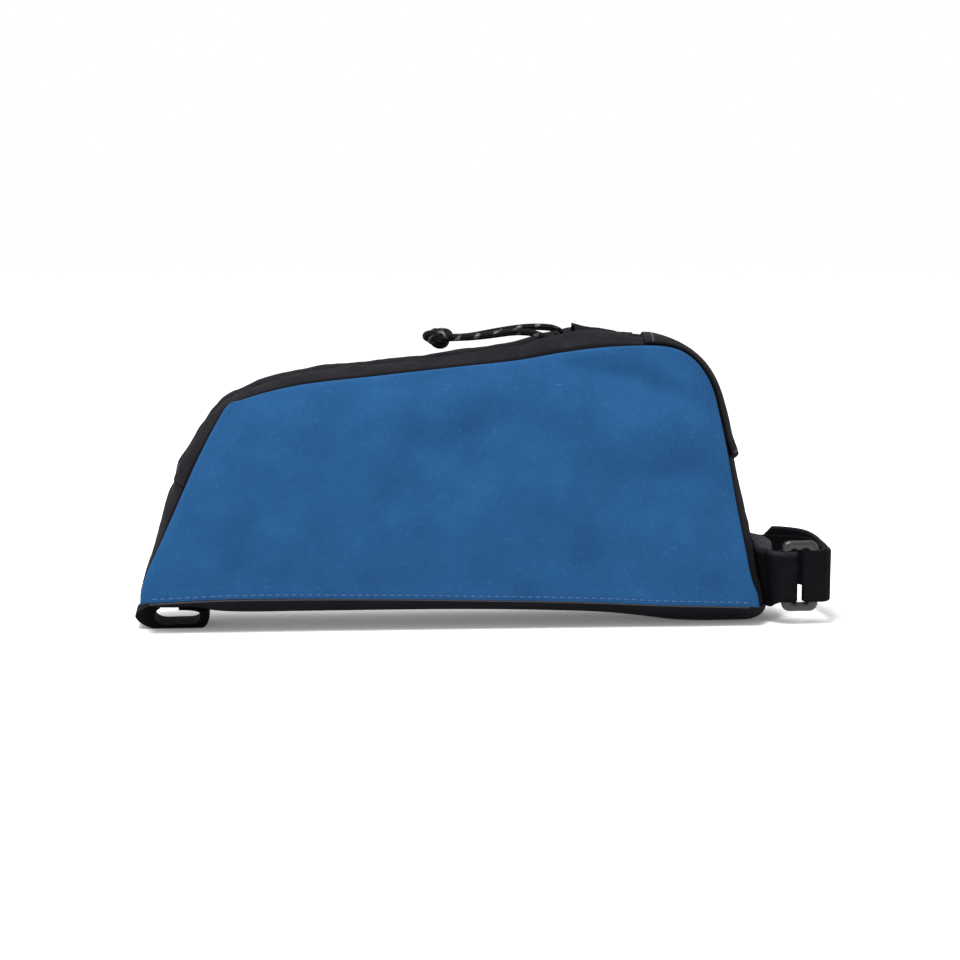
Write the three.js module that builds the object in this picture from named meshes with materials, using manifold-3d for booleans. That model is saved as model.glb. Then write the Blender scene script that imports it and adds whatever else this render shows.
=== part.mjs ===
// A top tube bag for a bicycle: two domed cloth sides joined by a strip over the tail, top and front, a base,
// a zip with a corded pull and a small hood, a webbing loop at the tail and a strap with a ring at the front.
// Millimetres. +X points to the front strap, +Y away from the near side, +Z up. It lies as on a table.
import * as THREE from 'three';
import Module from 'manifold-3d';
import { mergeVertices } from 'three/addons/utils/BufferGeometryUtils.js';

// Driving dimensions
const sideLength = 227.5;       // side panel, tail foot to front foot
const sideHeight = 97.2;        // side panel, front foot to its highest seam
const bagWidth = 50;            // across the side panels' seams
const baseDepth = 7.4;          // the base under the side panels at the front, where it stands
const sideDome = 3.2;           // how far a side swells out of its seams
const domeEdge = 24;            // width of the swell's slope along the seams
const domeFoot = 40;            // and along the lower seam, where the side slopes longer
const dentDepth = 1.6;
const gussetCrown = 8.0;        // the strip's greatest rise over its seams
const crownPower = 3.4;         // how flat its middle is
const keelPower = 3;            // and the base's
const keelFlat = 1.06;          // over 1, the base is level along its middle
const foldHeight = 0.9;         // wrinkles in the strip
const sideWall = 2.0;
const gussetWall = 1.6;
const baseWall = 2.4;
const clearance = 0.3;          // between pieces that touch

// Zip
const slotHalf = 4.2;           // half of the slot between the zip strips
const troughDepth = 4.0;        // the zip lies in a trough of this depth
const troughHalf = 6.0;
const tapeHalf = 9.5;
const tapeThick = 0.8;
const coilHalf = 2.4;
const coilThick = 1.7;
const sliderLength = 10.5;
const sliderHalf = 3.6;
const sliderThick = 2.2;
const sliderCorner = 1.6;
const sliderBevel = 0.4;
const bridgeThick = 1.0;
const bridgeHalf = 1.2;
const bridgeHole = 3.1;         // height of the hole that the cord passes through
const bridge = { back: -3.6, front: 4.2, corner: 1.6 };

// Hood over the zip's front end, and the second layer on the front
const hoodHalf = 6.8;
const hoodRise = 8.1;           // its rise over the trough at its mouth
const hoodTaper = 0.28;         // it is this share narrower at its end
const hoodFall = 1.75;          // how soon its rise runs out
const hoodWall = 0.9;
const overlayWall = 0.8;
const overlayLip = 1.0;         // how far its lower edge stands off
const lipLength = 10;
const overlayInset = 0.7;       // from the strip's edges

// Straps
const webbingWidth = 19;
const webbingThick = 1.4;
const strapLow = 8.5;           // height of the strap's lower edge over the table
const strapReach = 25;          // the loop's reach out of the front foot
const loopHalf = 24;            // half of the loop's spread across the bag
const rootRise = 1;             // the straps' roots lie this much higher than their near runs
const anchorWall = 1.3;
const anchorHalf = 12.5;
const anchorSwell = 4.6;        // it stands off in the middle, where the straps pass under it
const anchorSlant = 5;          // its upper edge lies this much lower at the near end
const ringWidth = 13.8;
const ringBar = 4.2;
const ringEndBar = 3.4;
const ringThick = 2.8;
const ringSlotCorner = 0.9;
const ringSlotGap = 0.35;       // over and under the webbing in the ring's slot
const wrapPower = 0.6;          // how square the webbing's bend round a bar is
const tabTail = 1.6;            // length of the tab's end behind the ring
const ringLift = 0.1;           // the ring hangs this much above the webbing's middle
const ringCorner = 3.2;
const ringBevel = 0.7;
const ringFromFoot = 16.7;      // ring centre from the side panel's front foot
const ringAcross = -20;
const tipChamfer = 5.6;         // cut corners of the strap's free end

// Tail loop
const tailLoopLength = 27.3;
const tailLoopHeight = 9.6;
const tailLoopWidth = 20;
const tailLoopReach = 2.4;      // how far it stands out behind the tail foot

// Pull cord
const cordDiameter = 2.6;
const cordSides = 8;             // faces round a leg of the cord
const knotLength = 10.4;
const knotHeight = 8.1;
const knotWidth = 8.6;
const knotStrands = 9;          // ridges round the knot
const knotTwist = 8;
const knotLobe = 0.09;

// The side's seam from the tail foot over the top to the front foot. along and up are shares of sideLength
// and sideHeight, crown is the strip's rise there as a share of gussetCrown, trough a share of troughDepth.
const seamRows = [
  { along: 0.000, up: 0.046, crown: 0.06, trough: 0.0 },
  { along: 0.002, up: 0.092, crown: 0.02, trough: 0.0 },
  { along: 0.012, up: 0.166, crown: 0.00, trough: 0.0 },
  { along: 0.036, up: 0.285, crown: 0.25, trough: 0.0 },
  { along: 0.065, up: 0.435, crown: 0.56, trough: 0.0 },
  { along: 0.094, up: 0.584, crown: 0.56, trough: 0.3 },
  { along: 0.125, up: 0.721, crown: 0.36, trough: 0.4 },
  { along: 0.142, up: 0.784, crown: 0.14, trough: 0.3 },
  { along: 0.151, up: 0.798, crown: 0.12, trough: 0.3 },
  { along: 0.164, up: 0.805, crown: 0.21, trough: 0.4 },
  { along: 0.194, up: 0.827, crown: 0.36, trough: 0.6 },
  { along: 0.258, up: 0.860, crown: 0.46, trough: 0.8 },
  { along: 0.385, up: 0.893, crown: 0.46, trough: 0.9 },
  { along: 0.513, up: 0.925, crown: 0.51, trough: 1.0 },
  { along: 0.608, up: 0.948, crown: 0.60, trough: 1.15 },
  { along: 0.674, up: 0.974, crown: 0.83, trough: 1.92 },
  { along: 0.739, up: 0.993, crown: 0.83, trough: 1.75 },
  { along: 0.803, up: 1.000, crown: 0.36, trough: 0.30 },
  { along: 0.845, up: 0.996, crown: 0.29, trough: 0.0 },
  { along: 0.870, up: 0.981, crown: 0.24, trough: 0.0 },
  { along: 0.893, up: 0.945, crown: 0.28, trough: 0.0 },
  { along: 0.910, up: 0.897, crown: 0.38, trough: 0.0 },
  { along: 0.923, up: 0.839, crown: 0.45, trough: 0.0 },
  { along: 0.937, up: 0.718, crown: 0.54, trough: 0.0 },
  { along: 0.951, up: 0.566, crown: 0.54, trough: 0.0 },
  { along: 0.963, up: 0.413, crown: 0.62, trough: 0.0 },
  { along: 0.977, up: 0.259, crown: 0.68, trough: 0.0 },
  { along: 0.991, up: 0.110, crown: 0.62, trough: 0.0 },
  { along: 1.001, up: 0.048, crown: 0.52, trough: 0.0 },
  { along: 1.004, up: 0.000, crown: 0.52, trough: 0.0 },
];
const cornerRows = { shoulder: 8, frontTop: 20 };  // rows at the side panel's upper corners

// The base from the tail to the front: its seam as shares of sideLength and sideHeight, and its keel, the
// lowest line along its middle, as shares of sideLength and baseDepth.
const baseRows = [
  { along: 0.0000, up: 0.0400, keelAlong: 0.0020, keelUp: 1.540 },
  { along: 0.0060, up: 0.0440, keelAlong: 0.0070, keelUp: 1.280 },
  { along: 0.0200, up: 0.0460, keelAlong: 0.0210, keelUp: 1.090 },
  { along: 0.0450, up: 0.0480, keelAlong: 0.0460, keelUp: 1.040 },
  { along: 0.0850, up: 0.0520, keelAlong: 0.0850, keelUp: 1.030 },
  { along: 0.1150, up: 0.0545, keelAlong: 0.1200, keelUp: 0.860 },
  { along: 0.1600, up: 0.0560, keelAlong: 0.1600, keelUp: 0.780 },
  { along: 0.2550, up: 0.0550, keelAlong: 0.2550, keelUp: 0.770 },
  { along: 0.4150, up: 0.0480, keelAlong: 0.4150, keelUp: 0.770 },
  { along: 0.5450, up: 0.0400, keelAlong: 0.5450, keelUp: 0.740 },
  { along: 0.6750, up: 0.0310, keelAlong: 0.6750, keelUp: 0.630 },
  { along: 0.7550, up: 0.0230, keelAlong: 0.7580, keelUp: 0.500 },
  { along: 0.8150, up: 0.0150, keelAlong: 0.8220, keelUp: 0.280 },
  { along: 0.8600, up: 0.0095, keelAlong: 0.8720, keelUp: 0.080 },
  { along: 0.9200, up: 0.0050, keelAlong: 0.9300, keelUp: 0.000 },
  { along: 0.9550, up: 0.0020, keelAlong: 0.9760, keelUp: 0.000 },
  { along: 0.9780, up: 0.0000, keelAlong: 1.0040, keelUp: 0.060 },
  { along: 0.9920, up: -0.0015, keelAlong: 1.0200, keelUp: 0.320 },
  { along: 0.9990, up: -0.0025, keelAlong: 1.0270, keelUp: 0.680 },
  { along: 1.0040, up: -0.0030, keelAlong: 1.0268, keelUp: 1.020 },
];

// Soft hollows (positive depth) and swells in a side panel: the middle and half sizes as shares of sideLength
// and sideHeight, the depth as a share of dentDepth, and the lean of the long axis in degrees.
const dentRows = [
  { along: 0.815, up: 0.850, halfLength: 0.150, halfHeight: 0.055, depth: 0.60, lean: -18 },
  { along: 0.830, up: 0.690, halfLength: 0.140, halfHeight: 0.060, depth: -0.40, lean: -14 },
  { along: 0.865, up: 0.515, halfLength: 0.100, halfHeight: 0.060, depth: 0.60, lean: -6 },
  { along: 0.935, up: 0.335, halfLength: 0.030, halfHeight: 0.030, depth: 0.45, lean: -12 },
  { along: 0.520, up: 0.640, halfLength: 0.170, halfHeight: 0.110, depth: 0.35, lean: 24 },
  { along: 0.300, up: 0.500, halfLength: 0.120, halfHeight: 0.160, depth: -0.30, lean: 50 },
  { along: 0.180, up: 0.300, halfLength: 0.090, halfHeight: 0.090, depth: 0.35, lean: 62 },
  { along: 0.620, up: 0.180, halfLength: 0.220, halfHeight: 0.070, depth: 0.35, lean: 3 },
];

// Wrinkles across the strip: where as a share of the seam's length, the half width and skew as shares of
// bagWidth, and the height as a share of foldHeight.
const foldRows = [
  { at: 0.120, halfWidth: 0.060, skew: 0.05, height: -0.9 },
  { at: 0.148, halfWidth: 0.080, skew: -0.06, height: 0.8 },
  { at: 0.205, halfWidth: 0.120, skew: 0.10, height: 0.4 },
  { at: 0.290, halfWidth: 0.110, skew: 0.22, height: -0.5 },
  { at: 0.345, halfWidth: 0.130, skew: -0.18, height: 0.5 },
  { at: 0.425, halfWidth: 0.120, skew: 0.20, height: -0.5 },
  { at: 0.505, halfWidth: 0.110, skew: -0.24, height: 0.4 },
  { at: 0.560, halfWidth: 0.090, skew: 0.20, height: -0.4 },
];

// The strap's inner run from the bag's front round to the ring: out and across are shares of strapReach,
// counted from the front foot, and of loopHalf. lean is how far the upper edge stands behind the lower one,
// and rise how far the strap is raised, both as shares of webbingWidth.
const strapRows = [
  { out: 0.150, across: 0.850, lean: 0.13, rise: 0.050 },
  { out: 0.330, across: 0.975, lean: 0.05, rise: 0.030 },
  { out: 0.560, across: 1.010, lean: 0.00, rise: 0.010 },
  { out: 0.800, across: 0.990, lean: 0.00, rise: 0.000 },
  { out: 1.000, across: 0.880, lean: -0.03, rise: 0.000 },
  { out: 1.095, across: 0.640, lean: -0.03, rise: 0.000 },
  { out: 1.110, across: 0.240, lean: -0.03, rise: 0.000 },
  { out: 1.110, across: -0.200, lean: -0.03, rise: 0.000 },
  { out: 1.085, across: -0.510, lean: -0.03, rise: 0.000 },
  { out: 0.990, across: -0.690, lean: 0.00, rise: 0.000 },
];
const freeEndRise = 0.17;       // the free end lies this share of webbingWidth higher than the near side

// The ring's tab where it leaves the bag's front, in the same terms
const tabRows = [
  { out: 0.228, across: -0.655, lean: 0.12, rise: 0.040 },
  { out: 0.262, across: -0.790, lean: 0.08, rise: 0.030 },
  { out: 0.335, across: -0.893, lean: 0.03, rise: 0.010 },
];

// The tail loop's outside and inside lines, from its end under the base round to its end at the tail: shares
// of tailLoopLength and tailLoopHeight. It is folded double at the tail.
const tailLoopRows = [
  { along: 0.585, up: 0.765, inAlong: 0.585, inUp: 0.700 },
  { along: 0.750, up: 0.760, inAlong: 0.745, inUp: 0.680 },
  { along: 0.880, up: 0.725, inAlong: 0.838, inUp: 0.630 },
  { along: 0.960, up: 0.640, inAlong: 0.868, inUp: 0.575 },
  { along: 1.000, up: 0.540, inAlong: 0.872, inUp: 0.500 },
  { along: 0.988, up: 0.280, inAlong: 0.868, inUp: 0.380 },
  { along: 0.946, up: 0.070, inAlong: 0.846, inUp: 0.230 },
  { along: 0.890, up: 0.000, inAlong: 0.790, inUp: 0.160 },
  { along: 0.590, up: 0.000, inAlong: 0.590, inUp: 0.145 },
  { along: 0.330, up: 0.000, inAlong: 0.380, inUp: 0.150 },
  { along: 0.220, up: 0.015, inAlong: 0.300, inUp: 0.230 },
  { along: 0.130, up: 0.125, inAlong: 0.264, inUp: 0.340 },
  { along: 0.045, up: 0.290, inAlong: 0.258, inUp: 0.440 },
  { along: 0.000, up: 0.480, inAlong: 0.264, inUp: 0.550 },
  { along: 0.030, up: 0.660, inAlong: 0.284, inUp: 0.650 },
  { along: 0.100, up: 0.770, inAlong: 0.310, inUp: 0.735 },
  { along: 0.190, up: 0.860, inAlong: 0.335, inUp: 0.770 },
];

// The cord's legs from the slider to the knot, in millimetres from the slider's seat
const cordLow = [
  [0.9, -0.25, 3.75], [0.7, -2.4, 3.75], [-0.9, -3.1, 4.0], [-3.6, -2.8, 4.9], [-7.4, -1.9, 6.0],
  [-11.8, -1.45, 6.35], [-15.3, -1.45, 6.2], [-19.0, -1.45, 5.75], [-24.6, -1.45, 5.05], [-30.3, -1.45, 4.55],
  [-36.6, -1.45, 4.3],
];
const cordHigh = [
  [0.9, 0.25, 3.75], [1.2, 2.8, 3.85], [2.8, 4.3, 4.4], [4.0, 3.9, 5.4], [3.3, 2.9, 6.6], [1.0, 2.75, 7.5],
  [-2.5, 2.65, 7.95], [-7.5, 2.0, 8.0], [-12.0, 1.5, 7.7], [-19.0, 1.45, 6.7], [-26.3, 1.45, 5.4],
  [-31.0, 1.45, 4.65], [-36.6, 1.45, 4.4],
];

// Where the strip changes from one piece to the next: shares of sideLength along the top, or of sideHeight up
// the tail and the front
const joins = {
  tailSeam: 0.475,
  zipEnd: 0.8135,
  sliderMiddle: 0.672,
  hoodMouth: 0.712,
  hoodEnd: 0.8085,
  overlayLow: 0.563,
  anchorHigh: 0.215,
};

// The straps' roots under the anchor: distances from the bag's middle as shares of anchorHalf
const rootRows = {
  strap: [0.24, 0.64, 1.0, 1.32],
  tab: [-0.08, -0.42, -0.74, -1.02],
};

// Finishes
const finishOf = (color, roughness) => new THREE.MeshStandardMaterial({ color, roughness, metalness: 0 });
const finish = {
  blueCanvas: finishOf(0x2d5e91, 0.85),
  darkCloth: finishOf(0x2f2e30, 0.8),
  baseCloth: finishOf(0x1f1f21, 0.85),
  webbing: finishOf(0x18181b, 0.75),
  zipCloth: finishOf(0x161617, 0.7),
  moulded: finishOf(0x1c1c1f, 0.45),
  cord: finishOf(0x1a1a1c, 0.7),
};

const bag = new THREE.Group();
const footX = -0.555 * sideLength;  // the tail foot lies this far behind the bag's middle
const frontX = footX + sideLength;
const halfWidth = bagWidth / 2;
const stripHalf = halfWidth - sideWall - clearance;
const flat = (x, z) => new THREE.Vector3(x, 0, z);
const curveOf = (points) => new THREE.CatmullRomCurve3(points, false, 'centripetal');
const evenCurveOf = (points) => new THREE.CatmullRomCurve3(points, false, 'catmullrom', 0.5);
const steps = (low, high, count) => (
  Array.from({ length: count + 1 }, (_, i) => low + ((high - low) * i) / count));
const smooth = (value) => THREE.MathUtils.smoothstep(value, 0, 1);

function add(name, geometry, material) {
  const mesh = new THREE.Mesh(geometry, material);
  mesh.name = name;
  bag.add(mesh);
  return mesh;
}

// A solid through sections of equal point counts. Its ends are closed by strips that pair the first half of a
// section with the second, which suits walls and bars alike. Faces are turned outwards.
function loft(sections) {
  const count = sections[0].length;
  const corners = sections.flat();
  const faces = [];
  for (let here = 0; here < corners.length - count; here += count) {
    const there = here + count;
    for (let i = 0; i < count; i += 1) {
      const next = (i + 1) % count;
      faces.push(here + i, there + i, there + next, here + i, there + next, here + next);
    }
  }
  const lastStart = corners.length - count;
  for (let i = 0; i < count / 2 - 1; i += 1) {
    const quad = [i, i + 1, count - 2 - i, count - 1 - i];
    const [a, b, c, d] = quad;
    faces.push(a, b, c, a, c, d);
    const [e, f, g, h] = quad.map((k) => k + lastStart);
    faces.push(e, g, f, e, h, g);
  }
  let volume = 0;
  for (let i = 0; i < faces.length; i += 3) {
    const [a, b, c] = [corners[faces[i]], corners[faces[i + 1]], corners[faces[i + 2]]];
    volume += a.dot(b.clone().cross(c));
  }
  if (volume < 0) {
    faces.reverse();
  }
  const geometry = new THREE.BufferGeometry();
  const places = corners.flatMap((point) => point.toArray());
  geometry.setAttribute('position', new THREE.Float32BufferAttribute(places, 3));
  geometry.setIndex(faces);
  geometry.computeVertexNormals();
  return geometry;
}

// The side's seam, the strip's shape along it, and the base's seam
const rowPoint = (row) => flat(footX + row.along * sideLength, baseDepth + row.up * sideHeight);
const seamPath = curveOf(seamRows.map(rowPoint));
const stripPath = evenCurveOf(seamRows.map((row) => flat(row.crown, row.trough)));
const baseSeam = curveOf(baseRows.map(rowPoint));
seamPath.arcLengthDivisions = 1200;
const seamLength = seamPath.getLength();

// A place on the seam, by its share of the seam's length, with the way out of the bag there
function seamAt(share) {
  const t = seamPath.getUtoTmapping(share);
  const tangent = seamPath.getTangent(t);
  const shape = stripPath.getPoint(t);
  return {
    share,
    point: seamPath.getPoint(t),
    out: flat(-tangent.z, tangent.x),
    crown: shape.x * gussetCrown,
    trough: Math.max(shape.z, 0) * troughDepth,
  };
}

// The share of the seam's length where a test of its points comes true, between two shares
function shareWhere(test, from, to) {
  let [low, high] = [from, to];
  while (high - low > 1e-7) {
    const middle = (low + high) / 2;
    if (test(seamPath.getPointAt(middle))) {
      high = middle;
    } else {
      low = middle;
    }
  }
  return (low + high) / 2;
}
const onTop = (along) => shareWhere((p) => p.x > footX + along * sideLength, 0.3, 0.9);
const onFrontAt = (height) => shareWhere((p) => p.z < height, 0.8, 1);
const seamGap = clearance / seamLength;
const tailSeam = shareWhere((p) => p.z > baseDepth + joins.tailSeam * sideHeight, 0, 0.2);
const zipEnd = onTop(joins.zipEnd);
const sliderAt = onTop(joins.sliderMiddle);
const hoodMouth = onTop(joins.hoodMouth);
const hoodEnd = onTop(joins.hoodEnd);
const overlayEnd = onFrontAt(baseDepth + joins.overlayLow * sideHeight);
const anchorTop = onFrontAt(baseDepth + joins.anchorHigh * sideHeight);

// A point on the strip's outside: it rises to its crown between the seams, with the trough and wrinkles in it
const inTrough = (across) => Math.exp(-((across / troughHalf) ** 2));
function onStrip(place, across, lift = 0) {
  const swell = 1 - Math.abs(across / stripHalf) ** crownPower;
  let rise = place.crown * swell - place.trough * inTrough(across);
  for (const fold of foldRows) {
    const offset = (place.share - fold.at) * seamLength - fold.skew * across * 2;
    const width = fold.halfWidth * bagWidth;
    rise += fold.height * foldHeight * swell * Math.exp(-((offset / width) ** 2));
  }
  return place.point.clone().addScaledVector(place.out, rise + lift).setY(across);
}

// A cloth wall on the strip between two places on the seam and two distances across it. With a slant its
// first end lies further along the seam at the near side.
function stripWall(from, to, low, high, { lengthSteps, acrossSteps, wall, lift = () => 0, slant = 0 }) {
  const sections = steps(0, 1, lengthSteps).map((gone) => {
    const line = (depth) => steps(low, high, acrossSteps).map((y) => {
      const start = from + (slant * (high - y)) / (high - low);
      const share = start + (to - start) * gone;
      return onStrip(seamAt(share), y, lift(share, y) - depth);
    });
    return [...line(0), ...line(wall).reverse()];
  });
  return loft(sections);
}

// Side panels: a patch between the four runs of the seam, swelling out of it, with the dents of soft cloth
const shoulderT = cornerRows.shoulder / (seamRows.length - 1);
const frontTopT = cornerRows.frontTop / (seamRows.length - 1);
const between = (curve, from, to, share) => curve.getPoint(from + (to - from) * share);
function patchPoint(u, v) {
  const corners = [
    [seamPath.getPoint(0), (1 - u) * (1 - v)],
    [seamPath.getPoint(1), u * (1 - v)],
    [seamPath.getPoint(shoulderT), (1 - u) * v],
    [seamPath.getPoint(frontTopT), u * v],
  ];
  const point = between(baseSeam, 0, 1, u).multiplyScalar(1 - v)
    .addScaledVector(between(seamPath, shoulderT, frontTopT, u), v)
    .addScaledVector(between(seamPath, 0, shoulderT, v), 1 - u)
    .addScaledVector(between(seamPath, 1, frontTopT, v), u);
  corners.forEach(([corner, weight]) => point.addScaledVector(corner, -weight));
  return point;
}

function sideSwell(u, v, point) {
  const slope = (distance, width) => 1 - (1 - Math.min(distance / width, 1)) ** 2;
  let swell = sideDome * slope(u * sideLength, domeEdge) * slope((1 - u) * sideLength, domeEdge)
    * slope(v * sideHeight, domeFoot) * slope((1 - v) * sideHeight, domeEdge);
  const fade = smooth(4 * u) * smooth(4 - 4 * u) * smooth(5 * v) * smooth(5 - 5 * v);
  for (const dent of dentRows) {
    const lean = THREE.MathUtils.degToRad(dent.lean);
    const dx = point.x - footX - dent.along * sideLength;
    const dz = point.z - baseDepth - dent.up * sideHeight;
    const along = (dx * Math.cos(lean) + dz * Math.sin(lean)) / (dent.halfLength * sideLength);
    const up = (dz * Math.cos(lean) - dx * Math.sin(lean)) / (dent.halfHeight * sideHeight);
    swell -= fade * dent.depth * dentDepth * Math.exp(-along * along - up * up);
  }
  return swell;
}

function sidePanel(side) {
  const eased = (count) => steps(0, 1, count).map((share) => 0.5 - 0.5 * Math.cos(Math.PI * share));
  const sections = eased(30).map((u) => {
    const outer = eased(11).map((v) => {
      const point = patchPoint(u, v);
      return point.setY(side * (halfWidth + sideSwell(u, v, point)));
    });
    const inner = outer.map((point) => point.clone().setY(point.y - side * sideWall));
    return [...outer, ...inner.reverse()];
  });
  return loft(sections);
}
add('side_panel_near', sidePanel(-1), finish.blueCanvas);
add('side_panel_far', sidePanel(1), finish.blueCanvas);

// The strip: tail, two zip strips, front, and the second layer on the front
add('tail_gusset', stripWall(3 * seamGap, tailSeam - seamGap, -stripHalf, stripHalf,
  { lengthSteps: 9, acrossSteps: 8, wall: gussetWall }), finish.darkCloth);
for (const [name, side] of [['zip_strip_near', -1], ['zip_strip_far', 1]]) {
  add(name, stripWall(tailSeam, zipEnd - seamGap, side * slotHalf, side * stripHalf,
    { lengthSteps: 36, acrossSteps: 4, wall: gussetWall }), finish.darkCloth);
}
add('front_gusset', stripWall(zipEnd, 1 - seamGap, -stripHalf, stripHalf,
  { lengthSteps: 18, acrossSteps: 8, wall: gussetWall }), finish.darkCloth);
const lipShare = lipLength / seamLength;
const overlayLift = (share) => clearance + overlayWall
  + overlayLip * smooth((share - overlayEnd) / lipShare + 1);
const overlayHalf = stripHalf - overlayInset;
add('front_overlay', stripWall(zipEnd, overlayEnd, -overlayHalf, overlayHalf,
  { lengthSteps: 15, acrossSteps: 8, wall: overlayWall, lift: overlayLift }), finish.darkCloth);

// Zip: tape under the strips, and the closed teeth in the slot
const tapeLift = -gussetWall - clearance;
function zipTape() {
  const rows = [-tapeHalf, -slotHalf, slotHalf, tapeHalf];
  const sections = steps(tailSeam, zipEnd - seamGap, 40).map((share) => {
    const place = seamAt(share);
    const line = (lift) => rows.map((y) => onStrip(place, y, lift));
    return [...line(tapeLift), ...line(tapeLift - tapeThick).reverse()];
  });
  return loft(sections);
}
function onTape(share, across, lift) {
  const place = seamAt(share);
  return onStrip(place, slotHalf).addScaledVector(place.out, tapeLift + lift).setY(across);
}
function zipCoil() {
  const [low, high] = [clearance, clearance + coilThick];
  const end = sliderAt - (sliderLength / 2 + clearance) / seamLength;
  const sections = steps(tailSeam + seamGap, end, 34).map((share) => [
    onTape(share, -coilHalf, low),
    onTape(share, coilHalf, low),
    onTape(share, coilHalf, high),
    onTape(share, -coilHalf, high),
  ]);
  return loft(sections);
}
add('zip_tape', zipTape(), finish.zipCloth);
add('zip_coil', zipCoil(), finish.zipCloth);

// Slider: a rounded body with a bridge, joined into one solid
const wasm = await Module();
wasm.setup();
function toSolid(geometry) {
  geometry.deleteAttribute('normal');
  geometry.deleteAttribute('uv');
  const merged = mergeVertices(geometry, 1e-4);
  return new wasm.Manifold(new wasm.Mesh({
    numProp: 3,
    vertProperties: new Float32Array(merged.attributes.position.array),
    triVerts: new Uint32Array(merged.index.array),
  }));
}
function fromSolid(solid) {
  const mesh = solid.getMesh();
  const geometry = new THREE.BufferGeometry();
  geometry.setAttribute('position', new THREE.BufferAttribute(new Float32Array(mesh.vertProperties), 3));
  geometry.setIndex(new THREE.BufferAttribute(new Uint32Array(mesh.triVerts), 1));
  geometry.computeVertexNormals();
  return geometry;
}
function roundedShape(halfX, halfY, corner) {
  const shape = new THREE.Shape();
  const quarter = Math.PI / 2;
  const [x, y] = [halfX - corner, halfY - corner];
  shape.absarc(x, -y, corner, -quarter, 0, false);
  shape.absarc(x, y, corner, 0, quarter, false);
  shape.absarc(-x, y, corner, quarter, 2 * quarter, false);
  shape.absarc(-x, -y, corner, 2 * quarter, 3 * quarter, false);
  return shape;
}
function bevelled(shape, thick, bevel) {
  return new THREE.ExtrudeGeometry(shape, {
    depth: thick - 2 * bevel,
    bevelThickness: bevel,
    bevelSize: bevel,
    bevelSegments: 1,
    curveSegments: 3,
  });
}
function zipSlider() {
  const shape = roundedShape(sliderLength / 2 - sliderBevel, sliderHalf - sliderBevel, sliderCorner);
  const body = bevelled(shape, sliderThick, sliderBevel).translate(0, 0, sliderBevel);
  const { back, front, corner } = bridge;
  const top = bridgeHole + bridgeThick;
  const arch = new THREE.Shape();
  arch.moveTo(back, -sliderBevel);
  arch.lineTo(back, top - corner);
  arch.quadraticCurveTo(back, top, back + corner, top);
  arch.lineTo(front - corner, top);
  arch.quadraticCurveTo(front, top, front, top - corner);
  arch.lineTo(front, -sliderBevel);
  const [holeBack, holeFront, holeCorner] = [back + bridgeThick, front - bridgeThick, corner / 2];
  const hole = new THREE.Path();
  hole.moveTo(holeBack, 0);
  hole.lineTo(holeFront, 0);
  hole.lineTo(holeFront, bridgeHole - holeCorner);
  hole.quadraticCurveTo(holeFront, bridgeHole, holeFront - holeCorner, bridgeHole);
  hole.lineTo(holeBack + holeCorner, bridgeHole);
  hole.quadraticCurveTo(holeBack, bridgeHole, holeBack, bridgeHole - holeCorner);
  arch.holes.push(hole);
  const hoop = new THREE.ExtrudeGeometry(arch, {
    depth: 2 * bridgeHalf,
    bevelEnabled: false,
    curveSegments: 3,
  }).rotateX(Math.PI / 2).translate(0, bridgeHalf, sliderThick);
  return fromSolid(toSolid(body).add(toSolid(hoop)));
}
const sliderSeat = onTape(sliderAt, 0, clearance);
const sliderOut = seamAt(sliderAt).out;
const slider = add('zip_slider', zipSlider(), finish.moulded);
slider.position.copy(sliderSeat);
slider.rotation.y = Math.atan2(sliderOut.x, sliderOut.z);

// Hood over the zip's front end: it stands open at its mouth and runs out flat towards the front
function hood() {
  const sections = steps(0, 1, 9).map((gone) => {
    const place = seamAt(hoodMouth + (hoodEnd - hoodMouth) * gone);
    const half = hoodHalf * (1 - hoodTaper * gone);
    const rise = hoodRise * (1 - gone) ** hoodFall;
    const lift = (y) => clearance + rise * Math.max(0, 1 - (y / half) ** 2);
    const line = (wall) => steps(-half, half, 10).map((y) => onStrip(place, y, lift(y) + wall));
    return [...line(hoodWall), ...line(0).reverse()];
  });
  return loft(sections);
}
add('zip_garage', hood(), finish.darkCloth);

// Base: from the seams down to the keel, rounded up at both ends
function basePanel() {
  const keel = curveOf(baseRows.map((row) => flat(
    footX + row.keelAlong * sideLength, row.keelUp * baseDepth)));
  const sections = steps(0, 1, 28).map((t) => {
    const edge = baseSeam.getPoint(t);
    const low = keel.getPoint(t);
    low.z = Math.max(low.z, 0);
    const tangent = keel.getTangent(t);
    const outer = steps(-90, 90, 8).map((degrees) => {
      const v = Math.sin(THREE.MathUtils.degToRad(degrees));
      const share = Math.min(keelFlat * (1 - Math.abs(v) ** keelPower), 1);
      return edge.clone().lerp(low, share).setY(v * stripHalf);
    });
    const inner = outer.map((point) => point.clone().addScaledVector(flat(-tangent.z, tangent.x), baseWall));
    return [...outer, ...inner.reverse()];
  });
  return loft(sections);
}
add('base_panel', basePanel(), finish.baseCloth);

// A flat band that stands on edge: each station has its place in plan, the height of its lower and upper edge
// and how far the upper edge leans back
function band(stations, thick) {
  const path = curveOf(stations.map((s) => new THREE.Vector3(s.x, s.y, 0)));
  const sections = stations.map((s, i) => {
    const tangent = path.getTangent(i / (stations.length - 1));
    const half = new THREE.Vector3(-tangent.y, tangent.x, 0).multiplyScalar(thick / 2);
    const low = new THREE.Vector3(s.x + s.lean / 2, s.y, s.low);
    const high = new THREE.Vector3(s.x - s.lean / 2, s.y, s.high);
    return [low.clone().add(half), low.sub(half), high.clone().sub(half), high.add(half)];
  });
  return loft(sections);
}

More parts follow.
